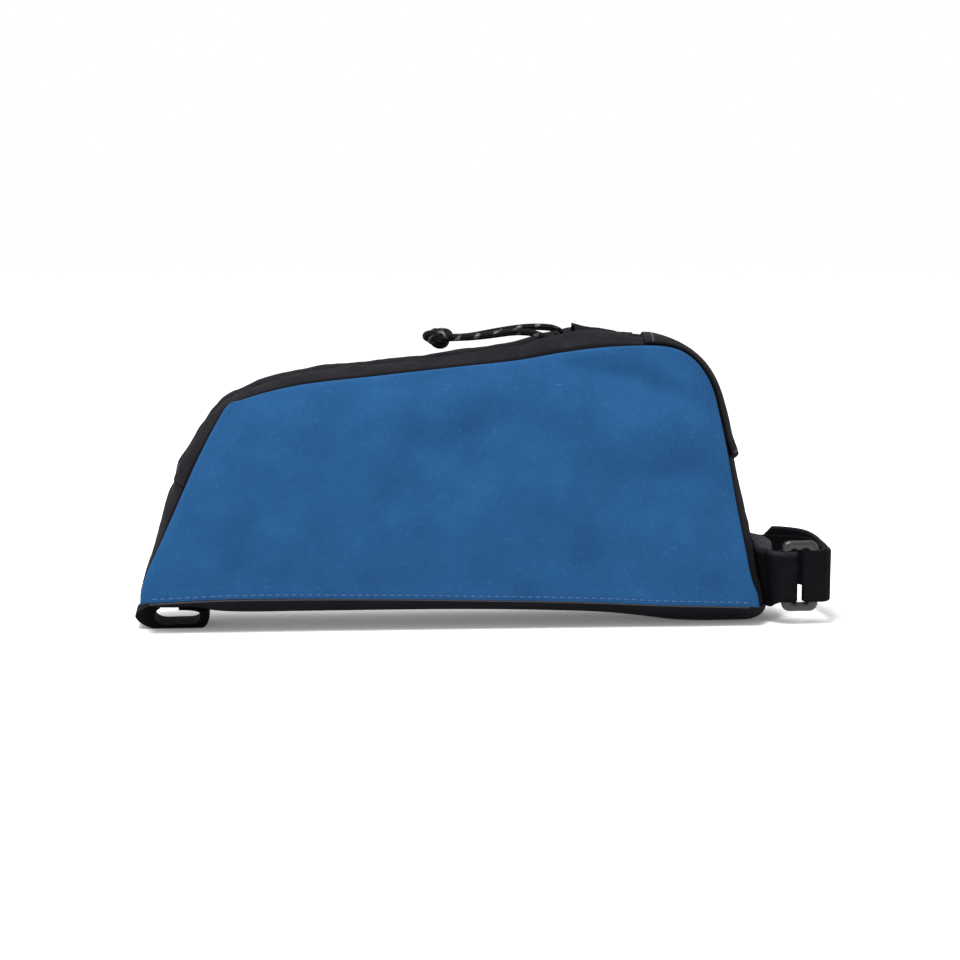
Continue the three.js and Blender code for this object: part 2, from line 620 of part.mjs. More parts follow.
// Stations of a band: by its row, or where it lies against the bag's front and leans as the front does
const bandStation = (row) => ({
  x: frontX + row.out * strapReach,
  y: row.across * loopHalf,
  low: strapLow + row.rise * webbingWidth,
  high: strapLow + (1 + row.rise) * webbingWidth,
  lean: row.lean * webbingWidth,
});
function rootStation(share) {
  const across = share * anchorHalf;
  const low = strapLow + rootRise;
  const high = low + webbingWidth;
  const lift = 1.5 * clearance + webbingThick / 2;
  const at = (height) => onStrip(seamAt(onFrontAt(height - rootRise)), across, lift).x;
  return { x: (at(low) + at(high)) / 2, y: across, low, high, lean: at(low) - at(high) };
}

// Stations on a smooth run through given ones
function refine(stations, count) {
  const plan = curveOf(stations.map((s) => new THREE.Vector3(s.x, s.y, s.lean)));
  const edges = evenCurveOf(stations.map((s) => new THREE.Vector3(s.low, s.high, 0)));
  return steps(0, 1, count).map((t) => {
    const place = plan.getPoint(t);
    const edge = edges.getPoint(t);
    return { x: place.x, y: place.y, lean: place.z, low: edge.x, high: edge.y };
  });
}

// The way round a bar of the ring, from its far side to its near side: side is -1 for the bar near the bag
const ringX = frontX + ringFromFoot;
const wrapX = ringBar / 2 + 1.3 * clearance + webbingThick / 2;
const wrapY = ringThick / 2 + clearance + webbingThick / 2;
const level = { low: strapLow, high: strapLow + webbingWidth, lean: 0 };
function roundBar(side) {
  const barX = ringX + (side * (ringWidth - ringBar)) / 2;
  const squared = (value) => Math.sign(value) * Math.abs(value) ** wrapPower;
  return steps(-Math.PI / 2, Math.PI / 2, 8).map((angle) => ({
    x: barX - side * wrapX * squared(Math.cos(angle)),
    y: ringAcross - wrapY * squared(Math.sin(angle)),
    ...level,
  })).slice(1, -1);
}
const besideRing = (side, face) => ({
  x: ringX + side * (ringWidth / 2 - 0.6),
  y: ringAcross + face * wrapY,
  ...level,
});

// Long strap: from under the anchor round the far side, through the ring round its outer bar, and back
// outside itself to its free end. It leaves the bar on the near side and closes in on the way out.
const strapOut = refine([...rootRows.strap.map(rootStation), ...strapRows.map(bandStation),
  besideRing(1, 1)], 34);
function strapBack(wayOut, count) {
  const path = curveOf(wayOut.map((s) => new THREE.Vector3(s.x, s.y, 0)));
  const last = wayOut.length - 1;
  const stations = steps(0, 1, count).map((gone, i) => {
    const s = wayOut[last - i];
    const tangent = path.getTangent((last - i) / last);
    const offset = THREE.MathUtils.lerp(2 * wrapY + clearance, webbingThick + clearance, smooth(i / 6));
    const rise = freeEndRise * webbingWidth * smooth((4 * gone - 1) / 3);
    return {
      x: s.x - tangent.y * offset,
      y: s.y + tangent.x * offset,
      low: s.low + rise,
      high: s.high + rise,
      lean: s.lean,
    };
  });
  const [before, tip] = stations.slice(-2);
  const way = new THREE.Vector2(tip.x - before.x, tip.y - before.y).setLength(tipChamfer);
  const end = { x: tip.x + way.x, y: tip.y + way.y, low: tip.low + tipChamfer, high: tip.high - tipChamfer };
  return [...stations, { ...end, lean: tip.lean }];
}
const strapStations = [...strapOut, ...roundBar(1), ...strapBack(strapOut, 19)];
add('head_strap', band(strapStations, webbingThick), finish.webbing);

// The ring's tab: from under the anchor, round the ring's inner bar and back behind it
function ringTab() {
  const nearSide = refine([...rootRows.tab.map(rootStation), ...tabRows.map(bandStation),
    besideRing(-1, -1)], 18);
  const start = besideRing(-1, 1);
  const next = { ...start, x: start.x - 0.4 * tabTail };
  const end = { ...start, x: start.x - tabTail, y: start.y - 0.15 * tabTail };
  const farSide = refine([start, next, end], 5);
  return band([...nearSide, ...roundBar(-1).reverse(), ...farSide], webbingThick);
}
add('ring_tab', ringTab(), finish.webbing);

// The anchor: ribbed webbing across the bag's front over both roots
const anchorLift = (share, across) => 3 * clearance + webbingThick + anchorWall
  + anchorSwell * (1 - (across / anchorHalf) ** 2);
add('strap_anchor', stripWall(anchorTop, 1 - seamGap, -anchorHalf, anchorHalf,
  { lengthSteps: 5, acrossSteps: 8, wall: anchorWall, lift: anchorLift, slant: anchorSlant / seamLength }),
finish.webbing);

// The ring
function ring() {
  const slotHeight = webbingWidth + 2 * ringSlotGap;
  const [halfX, halfY] = [ringWidth / 2, slotHeight / 2 + ringEndBar];
  const shape = roundedShape(halfX - ringBevel, halfY - ringBevel, ringCorner);
  const [slotX, slotY] = [halfX - ringBar + ringBevel, slotHeight / 2 + ringBevel];
  shape.holes.push(roundedShape(slotX, slotY, ringSlotCorner + ringBevel));
  const solid = bevelled(shape, ringThick, ringBevel);
  return solid.rotateX(Math.PI / 2).translate(0, ringThick / 2 - ringBevel, 0);
}
const ringMesh = add('strap_ring', ring(), finish.moulded);
ringMesh.position.set(ringX, ringAcross, strapLow + webbingWidth / 2 + ringLift);

// Tail loop: a band of webbing on its flat, bent into a loop under the tail
function tailLoop() {
  const startX = footX - tailLoopReach;
  const lineOf = (along, up) => curveOf(tailLoopRows.map((row) => flat(
    startX + row[along] * tailLoopLength, row[up] * tailLoopHeight)));
  const outside = lineOf('along', 'up');
  const inside = lineOf('inAlong', 'inUp');
  const half = tailLoopWidth / 2;
  const sections = steps(0, 1, 2 * (tailLoopRows.length - 1)).map((t) => {
    const outer = outside.getPoint(t);
    const inner = inside.getPoint(t);
    outer.z = Math.max(outer.z, 0);
    return [outer.clone().setY(-half), outer.setY(half), inner.clone().setY(half), inner.setY(-half)];
  });
  return loft(sections);
}
add('tail_loop', tailLoop(), finish.webbing);

// Pull cord: two legs from the slider's bridge to the knot
function cordLeg(points) {
  const path = curveOf(points.map((place) => new THREE.Vector3(...place).add(sliderSeat)));
  const radius = cordDiameter / 2;
  const corners = steps(0, 2 * Math.PI, cordSides).slice(1);
  const section = new THREE.Shape(corners.map((angle) => (
    new THREE.Vector2(Math.cos(angle) * radius, Math.sin(angle) * radius))));
  return new THREE.ExtrudeGeometry(section, { steps: 26, extrudePath: path, bevelEnabled: false });
}
add('pull_cord_low', cordLeg(cordLow), finish.cord);
add('pull_cord_high', cordLeg(cordHigh), finish.cord);

function knot() {
  const geometry = new THREE.SphereGeometry(0.5, 14, 9);
  const places = geometry.attributes.position;
  const point = new THREE.Vector3();
  for (let i = 0; i < places.count; i += 1) {
    point.fromBufferAttribute(places, i);
    const turns = knotStrands * Math.atan2(point.z, point.y) + knotTwist * point.x;
    const lobes = 1 + knotLobe * Math.cos(turns) * (1 - (2 * point.x) ** 2);
    places.setXYZ(i, point.x * knotLength, point.y * knotWidth * lobes, point.z * knotHeight * lobes);
  }
  return geometry;
}
const knotMesh = add('pull_knot', knot(), finish.cord);
const [knotFaceX, , knotFaceZ] = cordLow[cordLow.length - 1];
knotMesh.position.set(sliderSeat.x + knotFaceX - clearance - knotLength / 2, 0, sliderSeat.z + knotFaceZ);

// The frame's origin is under the middle of the bag and its straps, on the table
const box = new THREE.Box3().setFromObject(bag);
bag.position.set(-(box.min.x + box.max.x) / 2, -(box.min.y + box.max.y) / 2, -box.min.z);

export default bag;
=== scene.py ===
# Looks of a cloth top tube bag: canvas sides, dark strip with a zip, corded pull, straps and a moulded ring.
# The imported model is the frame. Metres, +X to the front strap, +Y away from the near side, +Z up.
import math
import bpy
import numpy as np
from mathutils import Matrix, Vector


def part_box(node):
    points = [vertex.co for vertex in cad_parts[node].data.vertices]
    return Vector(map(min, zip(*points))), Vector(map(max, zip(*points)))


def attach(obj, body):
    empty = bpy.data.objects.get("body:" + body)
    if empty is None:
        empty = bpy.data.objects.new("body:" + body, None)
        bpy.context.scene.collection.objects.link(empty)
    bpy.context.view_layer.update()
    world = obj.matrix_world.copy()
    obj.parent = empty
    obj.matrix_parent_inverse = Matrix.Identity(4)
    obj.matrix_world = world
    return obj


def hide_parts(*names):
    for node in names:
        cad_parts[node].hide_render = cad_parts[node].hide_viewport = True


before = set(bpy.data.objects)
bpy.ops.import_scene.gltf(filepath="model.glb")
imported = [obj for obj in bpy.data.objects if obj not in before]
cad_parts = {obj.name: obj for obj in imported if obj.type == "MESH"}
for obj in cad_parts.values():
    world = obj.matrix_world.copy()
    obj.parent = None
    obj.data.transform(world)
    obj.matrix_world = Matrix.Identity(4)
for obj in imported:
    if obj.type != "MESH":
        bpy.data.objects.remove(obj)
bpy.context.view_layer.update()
mm = 0.001
collection = bpy.context.scene.collection

# Measures shared by several pieces, in metres
bag = {
    "sideLength": 227.5 * mm,
    "sideHeight": 97.2 * mm,
    "halfWidth": 25 * mm,
    "baseDepth": 7.4 * mm,
    "sideWall": 1.6 * mm,
    "stripWall": 1.4 * mm,
    "clearance": 0.3 * mm,
}
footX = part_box("side_panel_near")[0].x
frontX = footX + bag["sideLength"]
stripHalf = 22.7 * mm


# Camera: the photograph's view, a little over the bag and from its tail's side
camera = {
    "aim": (126.3, 0.0, 53.0),   # from the tail foot, in millimetres
    "distance": 1000,
    "azimuth": -5.0,             # degrees, towards the tail
    "elevation": 6.5,
    "lens": 100,
    "sensor": 36,
}


def placeCamera():
    turn = math.radians(camera["azimuth"])
    rise = math.radians(camera["elevation"])
    aim = Vector(camera["aim"]) * mm + Vector((footX, 0, 0))
    way = Vector((math.sin(turn) * math.cos(rise), -math.cos(turn) * math.cos(rise), math.sin(rise)))
    data = bpy.data.cameras.new("camera")
    data.lens = camera["lens"]
    data.sensor_width = camera["sensor"]
    data.clip_start = 0.05
    eye = bpy.data.objects.new("camera", data)
    eye.location = aim + way * camera["distance"] * mm
    eye.rotation_euler = (-way).to_track_quat("-Z", "Y").to_euler()
    collection.objects.link(eye)
    bpy.context.scene.camera = eye


placeCamera()


# Curves. A smooth curve passes through its points: cubic pieces whose slopes come from the neighbours, with
# the steps weighted by the fourth root of the squared distance between points, or evenly.
def smoothCurve(points, t, even=False):
    points = np.asarray(points, float)
    p = np.vstack([2 * points[0] - points[1], points, 2 * points[-1] - points[-2]])
    last = len(points) - 1
    s = np.clip(np.asarray(t, float), 0, 1) * last
    i = np.minimum(s.astype(int), last - 1)
    w = (s - i)[:, None]
    p0, p1, p2, p3 = p[i], p[i + 1], p[i + 2], p[i + 3]
    if even:
        m1, m2 = (p2 - p0) / 2, (p3 - p1) / 2
    else:
        gap = lambda a, b: np.maximum((((a - b) ** 2).sum(1)) ** 0.25, 1e-6)[:, None]
        d0, d1, d2 = gap(p0, p1), gap(p1, p2), gap(p2, p3)
        m1 = ((p1 - p0) / d0 - (p2 - p0) / (d0 + d1) + (p2 - p1) / d1) * d1
        m2 = ((p2 - p1) / d1 - (p3 - p1) / (d1 + d2) + (p3 - p2) / d2) * d1
    return p1 + m1 * w + (3 * (p2 - p1) - 2 * m1 - m2) * w ** 2 + (2 * (p1 - p2) + m1 + m2) * w ** 3


def runLength(points):
    # distance along a row of points, starting at 0
    steps = np.linalg.norm(np.diff(points, axis=0), axis=1)
    return np.concatenate([[0], np.cumsum(steps)])


def evenRun(points, count):
    # the same curve by even steps of its length
    points = np.asarray(points, float)
    length = runLength(points)
    at = np.linspace(0, length[-1], count)
    return np.stack([np.interp(at, length, points[:, k]) for k in range(points.shape[1])], axis=1)


def unit(vectors):
    return vectors / np.maximum(np.linalg.norm(vectors, axis=-1, keepdims=True), 1e-12)


def smoothStep(value):
    t = np.clip(value, 0, 1)
    return t * t * (3 - 2 * t)


# Meshes
def meshObject(name, vertices, faces, uvs=None, material=None):
    # vertices as an array, faces as arrays of four corners or lists, uvs one for each vertex
    mesh = bpy.data.meshes.new(name)
    faces = [f.tolist() if isinstance(f, np.ndarray) else list(f) for f in faces]
    mesh.from_pydata(vertices.tolist(), [], faces)
    if uvs is not None:
        layer = mesh.uv_layers.new(name="cloth")
        corners = np.zeros(len(mesh.loops), np.int32)
        mesh.loops.foreach_get("vertex_index", corners)
        layer.data.foreach_set("uv", uvs[corners].astype(np.float32).ravel())
    mesh.polygons.foreach_set("use_smooth", np.full(len(mesh.polygons), True))
    mesh.validate()
    piece = bpy.data.objects.new(name, mesh)
    collection.objects.link(piece)
    if material:
        mesh.materials.append(material)
    return piece


def signedVolume(vertices, faces):
    quads = np.array([f[:4] if len(f) >= 4 else list(f) + [f[-1]] for f in faces])
    a, b, c, d = (vertices[quads[:, k]] for k in range(4))
    return (np.einsum("ij,ij->i", a, np.cross(b, c)) + np.einsum("ij,ij->i", a, np.cross(c, d))).sum()


def quadsOf(rows, cols, start=0, wrapCols=False, wrapRows=False):
    # the faces of a grid of vertices, as an array of four corners each
    r = np.arange(rows if wrapRows else rows - 1)[:, None]
    c = np.arange(cols if wrapCols else cols - 1)[None, :]
    up, right = (r + 1) % rows, (c + 1) % cols
    corner = lambda a, b: (start + a * cols + b + 0 * (r + c)).ravel()
    return np.stack([corner(r, c), corner(r, right), corner(up, right), corner(up, c)], axis=1)


def gridUv(points):
    # u along the rows and v along the columns, in metres on the surface
    u = np.stack([runLength(points[:, k]) for k in (0, points.shape[1] // 2, -1)]).mean(0)
    v = np.stack([runLength(points[k]) for k in (0, points.shape[0] // 2, -1)]).mean(0)
    return np.stack(np.meshgrid(u, v, indexing="ij"), axis=-1).reshape(-1, 2)


def clothWall(name, outer, inner, material, replaced=()):
    # a closed wall of cloth: an outer and an inner grid of the same size, joined round their four edges
    rows, cols = outer.shape[:2]
    vertices = np.concatenate([outer.reshape(-1, 3), inner.reshape(-1, 3)])
    half = rows * cols
    grid = np.arange(half).reshape(rows, cols)
    edge = np.concatenate([grid[0], grid[1:, -1], grid[-1, -2::-1], grid[-2:0:-1, 0]])
    ahead = np.roll(edge, -1)
    rim = np.stack([edge, edge + half, ahead + half, ahead], axis=1)
    faces = np.concatenate([quadsOf(rows, cols), quadsOf(rows, cols, half)[:, ::-1], rim])
    if signedVolume(vertices, faces) < 0:
        faces = faces[:, ::-1]
    uvs = np.concatenate([gridUv(outer)] * 2)
    piece = meshObject(name, vertices, faces, uvs, material)
    return dress(piece, replaced)


def closedRing(name, points, material, replaced=(), wrapRows=False):
    # a bar: closed sections one after the other, with flat ends, or closed on itself
    rows, cols = points.shape[:2]
    vertices = points.reshape(-1, 3)
    quads = quadsOf(rows, cols, wrapCols=True, wrapRows=wrapRows)
    turned = signedVolume(vertices, quads) < 0
    faces = list(quads[:, ::-1] if turned else quads)
    if not wrapRows:
        first, lastRow = list(range(cols)), list(range((rows - 1) * cols, rows * cols))
        faces += [first, lastRow[::-1]] if turned else [first[::-1], lastRow]
    u = runLength(points.mean(1))
    around = runLength(np.concatenate([points[rows // 2], points[rows // 2][:1]]))[:-1]
    uvs = np.stack(np.meshgrid(u, around, indexing="ij"), axis=-1).reshape(-1, 2)
    piece = meshObject(name, vertices, faces, uvs, material)
    return dress(piece, replaced)


def dress(piece, replaced=()):
    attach(piece, "root")
    if replaced:
        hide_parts(*replaced)
    return piece


def tube(path, radius, sides):
    # a round profile carried along a path, in frames that turn as little as they can
    tangent = unit(np.gradient(path, axis=0))
    side = np.zeros_like(path)
    start = np.cross(tangent[0], (0.0, 0.3, 1.0))
    for i, way in enumerate(tangent):
        start = start - way * np.dot(start, way)
        side[i] = start = start / np.linalg.norm(start)
    other = np.cross(tangent, side)
    angle = np.linspace(0, 2 * np.pi, sides, endpoint=False)
    radius = np.broadcast_to(np.asarray(radius, float), (len(path),))[:, None, None]
    ring = np.cos(angle)[None, :, None] * side[:, None] + np.sin(angle)[None, :, None] * other[:, None]
    return path[:, None] + radius * ring


def stitchRow(name, at, along, out, material, length, radius):
    # short threads: a rounded grain repeated at each point, lying along one way and bulging out of the cloth
    along, out = unit(along), unit(out)
    side = np.cross(out, along)
    rings, sides = 5, 6
    a = np.linspace(-1, 1, rings)
    swell = np.sqrt(np.maximum(1 - a ** 2, 0)) * 0.94 + 0.06
    angle = np.linspace(0, 2 * np.pi, sides, endpoint=False)
    grainAlong = np.repeat(a * length / 2, sides)
    grainOut = (swell[:, None] * np.cos(angle)).ravel() * radius
    grainSide = (swell[:, None] * np.sin(angle)).ravel() * radius
    points = (at[:, None] + along[:, None] * grainAlong[:, None] + out[:, None] * grainOut[:, None]
              + side[:, None] * grainSide[:, None])
    count = len(grainAlong)
    quads = quadsOf(rings, sides, wrapCols=True)
    if signedVolume(points[0], quads) < 0:
        quads = quads[:, ::-1]
        ends = [list(range(sides)), list(range(count - sides, count))[::-1]]
    else:
        ends = [list(range(sides))[::-1], list(range(count - sides, count))]
    faces = [[start + v for v in face] for start in range(0, len(at) * count, count)
             for face in quads.tolist() + ends]
    piece = meshObject(name, points.reshape(-1, 3), faces, None, material)
    return dress(piece)


# Materials
def newMaterial(name, roughness, **extra):
    # a surface with its fixed values set on the shader's own sockets
    material = bpy.data.materials.new(name)
    material.use_nodes = True
    tree = material.node_tree
    shader = tree.nodes["Principled BSDF"]
    shader.inputs["Roughness"].default_value = roughness
    for key, value in extra.items():
        shader.inputs[key.replace("_", " ")].default_value = value
    return material, tree, shader


def node(tree, kind, links=None, **values):
    # a node with its properties and inputs set, and links given as input name to socket
    new = tree.nodes.new(kind)
    for key, value in values.items():
        if key in new.inputs:
            new.inputs[key].default_value = value
        else:
            setattr(new, key, value)
    for key, socket in (links or {}).items():
        tree.links.new(socket, new.inputs[key])
    return new


def mathNode(tree, operation, a, b=None):
    new = tree.nodes.new("ShaderNodeMath")
    new.operation = operation
    for k, value in enumerate((a, b)):
        if value is None:
            continue
        if isinstance(value, (int, float)):
            new.inputs[k].default_value = value
        else:
            tree.links.new(value, new.inputs[k])
    return new.outputs[0]


def times(tree, a, b):
    return mathNode(tree, "MULTIPLY", a, b)


def plus(tree, a, b):
    return mathNode(tree, "ADD", a, b)


def sine(tree, a):
    return mathNode(tree, "SINE", a)


def clothMap(tree):
    return node(tree, "ShaderNodeUVMap", uv_map="cloth").outputs["UV"]


def ownPlace(tree):
    return node(tree, "ShaderNodeTexCoord").outputs["Object"]


def parted(tree, vector):
    return node(tree, "ShaderNodeSeparateXYZ", {"Vector": vector}).outputs


def noise(tree, vector, scale, detail=3.0, roughness=0.6):
    return node(tree, "ShaderNodeTexNoise", {"Vector": vector}, Scale=scale, Detail=detail,
                Roughness=roughness).outputs["Fac"]


def stretched(tree, vector, scale):
    new = tree.nodes.new("ShaderNodeMapping")
    new.inputs["Scale"].default_value = scale
    tree.links.new(vector, new.inputs["Vector"])
    return new.outputs["Vector"]


def ramp(tree, fac, stops):
    new = tree.nodes.new("ShaderNodeValToRGB")
    tree.links.new(fac, new.inputs["Fac"])
    elements = new.color_ramp.elements
    while len(elements) < len(stops):
        elements.new(0.5)
    for element, (place, colour) in zip(elements, stops):
        element.position = place
        element.color = (*colour, 1)
    return new.outputs["Color"]


def linear(r, g, b):
    # a screen colour from 0 to 255 as the linear values that a shader takes
    return tuple(((v / 255 + 0.055) / 1.055) ** 2.4 if v > 10 else v / 255 / 12.92 for v in (r, g, b))


def grey(value):
    return (value, value, value)


def bump(tree, shader, height, strength, distance, previous=None):
    new = tree.nodes.new("ShaderNodeBump")
    new.inputs["Strength"].default_value = strength
    new.inputs["Distance"].default_value = distance
    tree.links.new(height, new.inputs["Height"])
    if previous:
        tree.links.new(previous, new.inputs["Normal"])
    tree.links.new(new.outputs["Normal"], shader.inputs["Normal"])
    return new.outputs["Normal"]


def wovenMaterial(name, look):
    # woven cloth on the piece's own UV map: fine threads both ways, a plain weave, slow blotches that are
    # partly random tone and partly painted shade standing in for the cloth's soft folds, and sparse short
    # flecks where a thread shows lighter or darker
    material, tree, shader = newMaterial(name, look["roughness"], Specular_IOR_Level=look["gloss"])
    uv = clothMap(tree)
    fine, drawn = look["threads"], look["threads"] * 0.16
    warp = noise(tree, stretched(tree, uv, (fine, drawn, 1)), 1.0, 2.0)
    weft = noise(tree, stretched(tree, uv, (drawn, fine, 1)), 1.0, 2.0)
    slow = noise(tree, uv, look["blotch"], 4.0, 0.55)
    threads = plus(tree, times(tree, warp, 0.5), times(tree, weft, 0.5))
    mixed = plus(tree, times(tree, threads, 1 - look["blotchShare"]), times(tree, slow, look["blotchShare"]))
    colour = ramp(tree, mixed, [(0.3, look["dark"]), (0.5, look["colour"]), (0.7, look["light"])])
    share = grey(look["fleckShare"])
    for across, up in ((0.22, 1.0), (1.0, 0.26)):
        spot = noise(tree, stretched(tree, uv, (look["flecks"] * across, look["flecks"] * up, 1)), 1.0, 1.0)
        pale = ramp(tree, spot, [(0.66, grey(0)), (0.76, share)])
        deep = ramp(tree, spot, [(0.25, share), (0.34, grey(0))])
        colour = mixColour(tree, pale, colour, look["fleckLight"])
        colour = mixColour(tree, deep, colour, look["fleckDark"])
    if "seamPaintedShade" in look:
        # painted shade: darker towards both seams, where the seam grooves lie in shadow; the seams lie at the
        # ends of the piece's Y
        off = mathNode(tree, "ABSOLUTE", parted(tree, ownPlace(tree))["Y"])
        mask = ramp(tree, times(tree, off, 1 / stripHalf), [(0.91, grey(0)), (0.98, grey(0.85))])
        colour = mixColour(tree, mask, colour, look["seamPaintedShade"])
    if "rim" in look:
        # painted highlight: the rolled upper edge of a band, where it catches the light, shows lighter, in
        # patches
        part = times(tree, parted(tree, uv)["Y"], 1 / look["rimGirth"])
        rim = ramp(tree, part, [(0.0, grey(1)), (0.03, grey(0.5)), (0.045, grey(0)), (0.955, grey(0)),
                                (0.97, grey(0.5)), (1.0, grey(1))])
        patches = ramp(tree, noise(tree, uv, 260), [(0.3, grey(0.25)), (0.7, grey(1))])
        colour = mixColour(tree, times(tree, rim, patches), colour, look["rim"])
    tree.links.new(colour, shader.inputs["Base Color"])
    weave = wavePair(tree, uv, look["pitch"])
    first = bump(tree, shader, weave, look["weaveBump"], 0.25 * mm)
    second = bump(tree, shader, threads, look["threadBump"], 0.3 * mm, first)
    crease = noise(tree, uv, look["creaseScale"], 5.0, 0.62)
    bump(tree, shader, crease, look["creaseBump"], 1.2 * mm, second)
    return material


def mixColour(tree, share, first, second):
    # the first colour, a socket, and the second, fixed, by the share
    new = node(tree, "ShaderNodeMix", data_type="RGBA")
    tree.links.new(share, new.inputs[0])
    tree.links.new(first, new.inputs[6])
    new.inputs[7].default_value = (*second, 1)
    return new.outputs[2]


def wavePair(tree, uv, pitch):
    # two crossing sine waves, higher where a thread lies on top
    split = parted(tree, uv)
    turn = 2 * math.pi / pitch
    a = sine(tree, times(tree, split["X"], turn))
    b = sine(tree, times(tree, split["Y"], turn))
    return plus(tree, times(tree, times(tree, a, b), 0.5), 0.5)


looks = {
    "blueCanvas": {
        "colour": linear(27.5, 67, 106.5), "dark": linear(23, 59.5, 97), "light": linear(32, 75, 117),
        "fleckLight": linear(66, 104, 142), "fleckDark": linear(17, 44, 78), "flecks": 1300,
        "fleckShare": 0.2,
        "roughness": 0.9, "gloss": 0.06, "threads": 2300, "pitch": 0.6 * mm, "weaveBump": 0.3,
        "threadBump": 0.25, "blotch": 52, "blotchShare": 0.52, "creaseScale": 80, "creaseBump": 0.16,
    },
    "darkCloth": {
        "colour": linear(26, 25.5, 28.5), "dark": linear(17, 16.5, 19), "light": linear(35, 34.5, 38),
        "fleckLight": linear(46, 46, 50), "fleckDark": linear(14, 14, 16), "flecks": 1400, "fleckShare": 0.22,
        "roughness": 0.7, "gloss": 0.015, "threads": 2000, "pitch": 0.42 * mm, "weaveBump": 0.15,
        "threadBump": 0.12, "blotch": 70, "blotchShare": 0.5, "creaseScale": 95, "creaseBump": 0.3,
        # seam shade: the colour of the painted shade in the seam grooves
        "seamPaintedShade": linear(9, 9, 11),
    },
    "baseCloth": {
        "colour": linear(14, 14, 18), "dark": linear(10, 10, 13), "light": linear(21, 21, 25),
        "fleckLight": linear(36, 36, 40), "fleckDark": linear(6, 6, 7), "flecks": 1400, "fleckShare": 0.25,
        "roughness": 0.75, "gloss": 0.06, "threads": 1800, "pitch": 0.5 * mm, "weaveBump": 0.25,
        "threadBump": 0.2, "blotch": 60, "blotchShare": 0.5, "creaseScale": 70, "creaseBump": 0.25,
    },
    "zipCloth": {
        "colour": linear(16, 16, 18), "dark": linear(11, 11, 13), "light": linear(25, 25, 27),
        "fleckLight": linear(38, 38, 40), "fleckDark": linear(7, 7, 8), "flecks": 1500, "fleckShare": 0.25,
        "roughness": 0.75, "gloss": 0.04, "threads": 2200, "pitch": 0.5 * mm, "weaveBump": 0.5,
        "threadBump": 0.3, "blotch": 90, "blotchShare": 0.3, "creaseScale": 90, "creaseBump": 0.05,
    },
    "hookLoop": {
        "colour": linear(11.5, 10.5, 13.5), "dark": linear(7.5, 7.5, 9.5), "light": linear(17, 17, 20),
        "fleckLight": linear(40, 40, 45), "fleckDark": linear(3, 3, 4), "flecks": 1900, "fleckShare": 0.25,
        "roughness": 0.85, "gloss": 0.03, "threads": 2400, "pitch": 0.7 * mm, "weaveBump": 0.25,
        "threadBump": 0.5, "blotch": 160, "blotchShare": 0.5, "creaseScale": 150, "creaseBump": 0.12,
        # rim: the colour of the painted highlight on the band's rolled edge
        "rim": linear(44, 44, 48), "rimGirth": 42 * mm,
    },
}


def webbingMaterial(name, shades):
    # ribbed webbing: rows of slanted floats along the tape; the colour follows their height, with painted
    # shade in the hollows between the ribs and a painted highlight on the rib tops
    material, tree, shader = newMaterial(name, 0.75, Specular_IOR_Level=0.03)
    uv = clothMap(tree)
    split = parted(tree, uv)
    turn = 2 * math.pi
    rib = sine(tree, times(tree, split["Y"], turn / (1.3 * mm)))
    slant = plus(tree, times(tree, split["X"], turn / (0.9 * mm)), times(tree, rib, 1.8))
    yarn = sine(tree, slant)
    height = plus(tree, times(tree, yarn, 0.3), times(tree, rib, 0.3))
    fuzz = noise(tree, uv, 2600, 2.0)
    level = plus(tree, times(tree, height, 0.4), fuzz)
    colour = ramp(tree, level, list(zip((0.25, 0.5, 0.8), shades)))
    tree.links.new(colour, shader.inputs["Base Color"])
    first = bump(tree, shader, height, 0.6, 0.3 * mm)
    bump(tree, shader, fuzz, 0.3, 0.15 * mm, first)
    return material


def mouldedMaterial(name, colour, roughness):
    # moulded plastic: even, with a fine grain, slow patches of gloss and worn lighter places
    material, tree, shader = newMaterial(name, roughness, Specular_IOR_Level=0.5)
    place = ownPlace(tree)
    grain = noise(tree, place, 4200, 2.0)
    patches = noise(tree, place, 240, 4.0)
    worn = noise(tree, place, 900, 6.0, 0.7)
    dark = tuple(v * 0.8 for v in colour)
    light = tuple(v * 1.7 for v in colour)
    shades = ramp(tree, worn, [(0.3, dark), (0.55, colour), (0.75, light)])
    tree.links.new(shades, shader.inputs["Base Color"])
    gloss = node(tree, "ShaderNodeMapRange", {"Value": patches})
    gloss.inputs["To Min"].default_value = roughness - 0.08
    gloss.inputs["To Max"].default_value = roughness + 0.12
    tree.links.new(gloss.outputs["Result"], shader.inputs["Roughness"])
    bump(tree, shader, grain, 0.12, 0.1 * mm)
    return material


def cordMaterial():
    # braid: crossing helical strands, and pairs of light tracer yarns that come up every few millimetres
    material, tree, shader = newMaterial("braidedCord", 0.6, Sheen_Weight=0.01, Specular_IOR_Level=0.08)
    uv = clothMap(tree)
    split = parted(tree, uv)
    turn = 2 * math.pi
    along = times(tree, split["X"], turn / cordLook["braidPitch"])
    round_ = times(tree, split["Y"], 4 * turn / cordLook["girth"])
    left = sine(tree, plus(tree, along, round_))
    right = sine(tree, mathNode(tree, "SUBTRACT", along, round_))
    braid = times(tree, left, right)
    fuzz = noise(tree, uv, 2400, 2.0)
    level = plus(tree, times(tree, braid, 0.22), fuzz)
    # painted shade: the base colour follows the braid's height, darker between the strands and lighter on
    # their tops
    base = ramp(tree, level, [(0.25, linear(4, 4, 5)), (0.55, linear(9, 9, 11)), (0.85, linear(24, 24, 27))])
    pulse = sine(tree, times(tree, split["X"], turn / cordLook["fleckEvery"]))
    helix = plus(tree, times(tree, split["Y"], 2 * turn / cordLook["girth"]), times(tree, along, 0.35))
    strands = plus(tree, sine(tree, helix), times(tree, left, 0.35))
    mask = times(tree, ramp(tree, pulse, [(0.35, grey(0)), (0.95, grey(1))]),
                 ramp(tree, strands, [(0.05, grey(0)), (0.6, grey(1))]))
    tree.links.new(mixColour(tree, mask, base, cordLook["fleck"]), shader.inputs["Base Color"])
    first = bump(tree, shader, braid, 0.8, 0.3 * mm)
    bump(tree, shader, fuzz, 0.3, 0.12 * mm, first)
    return material


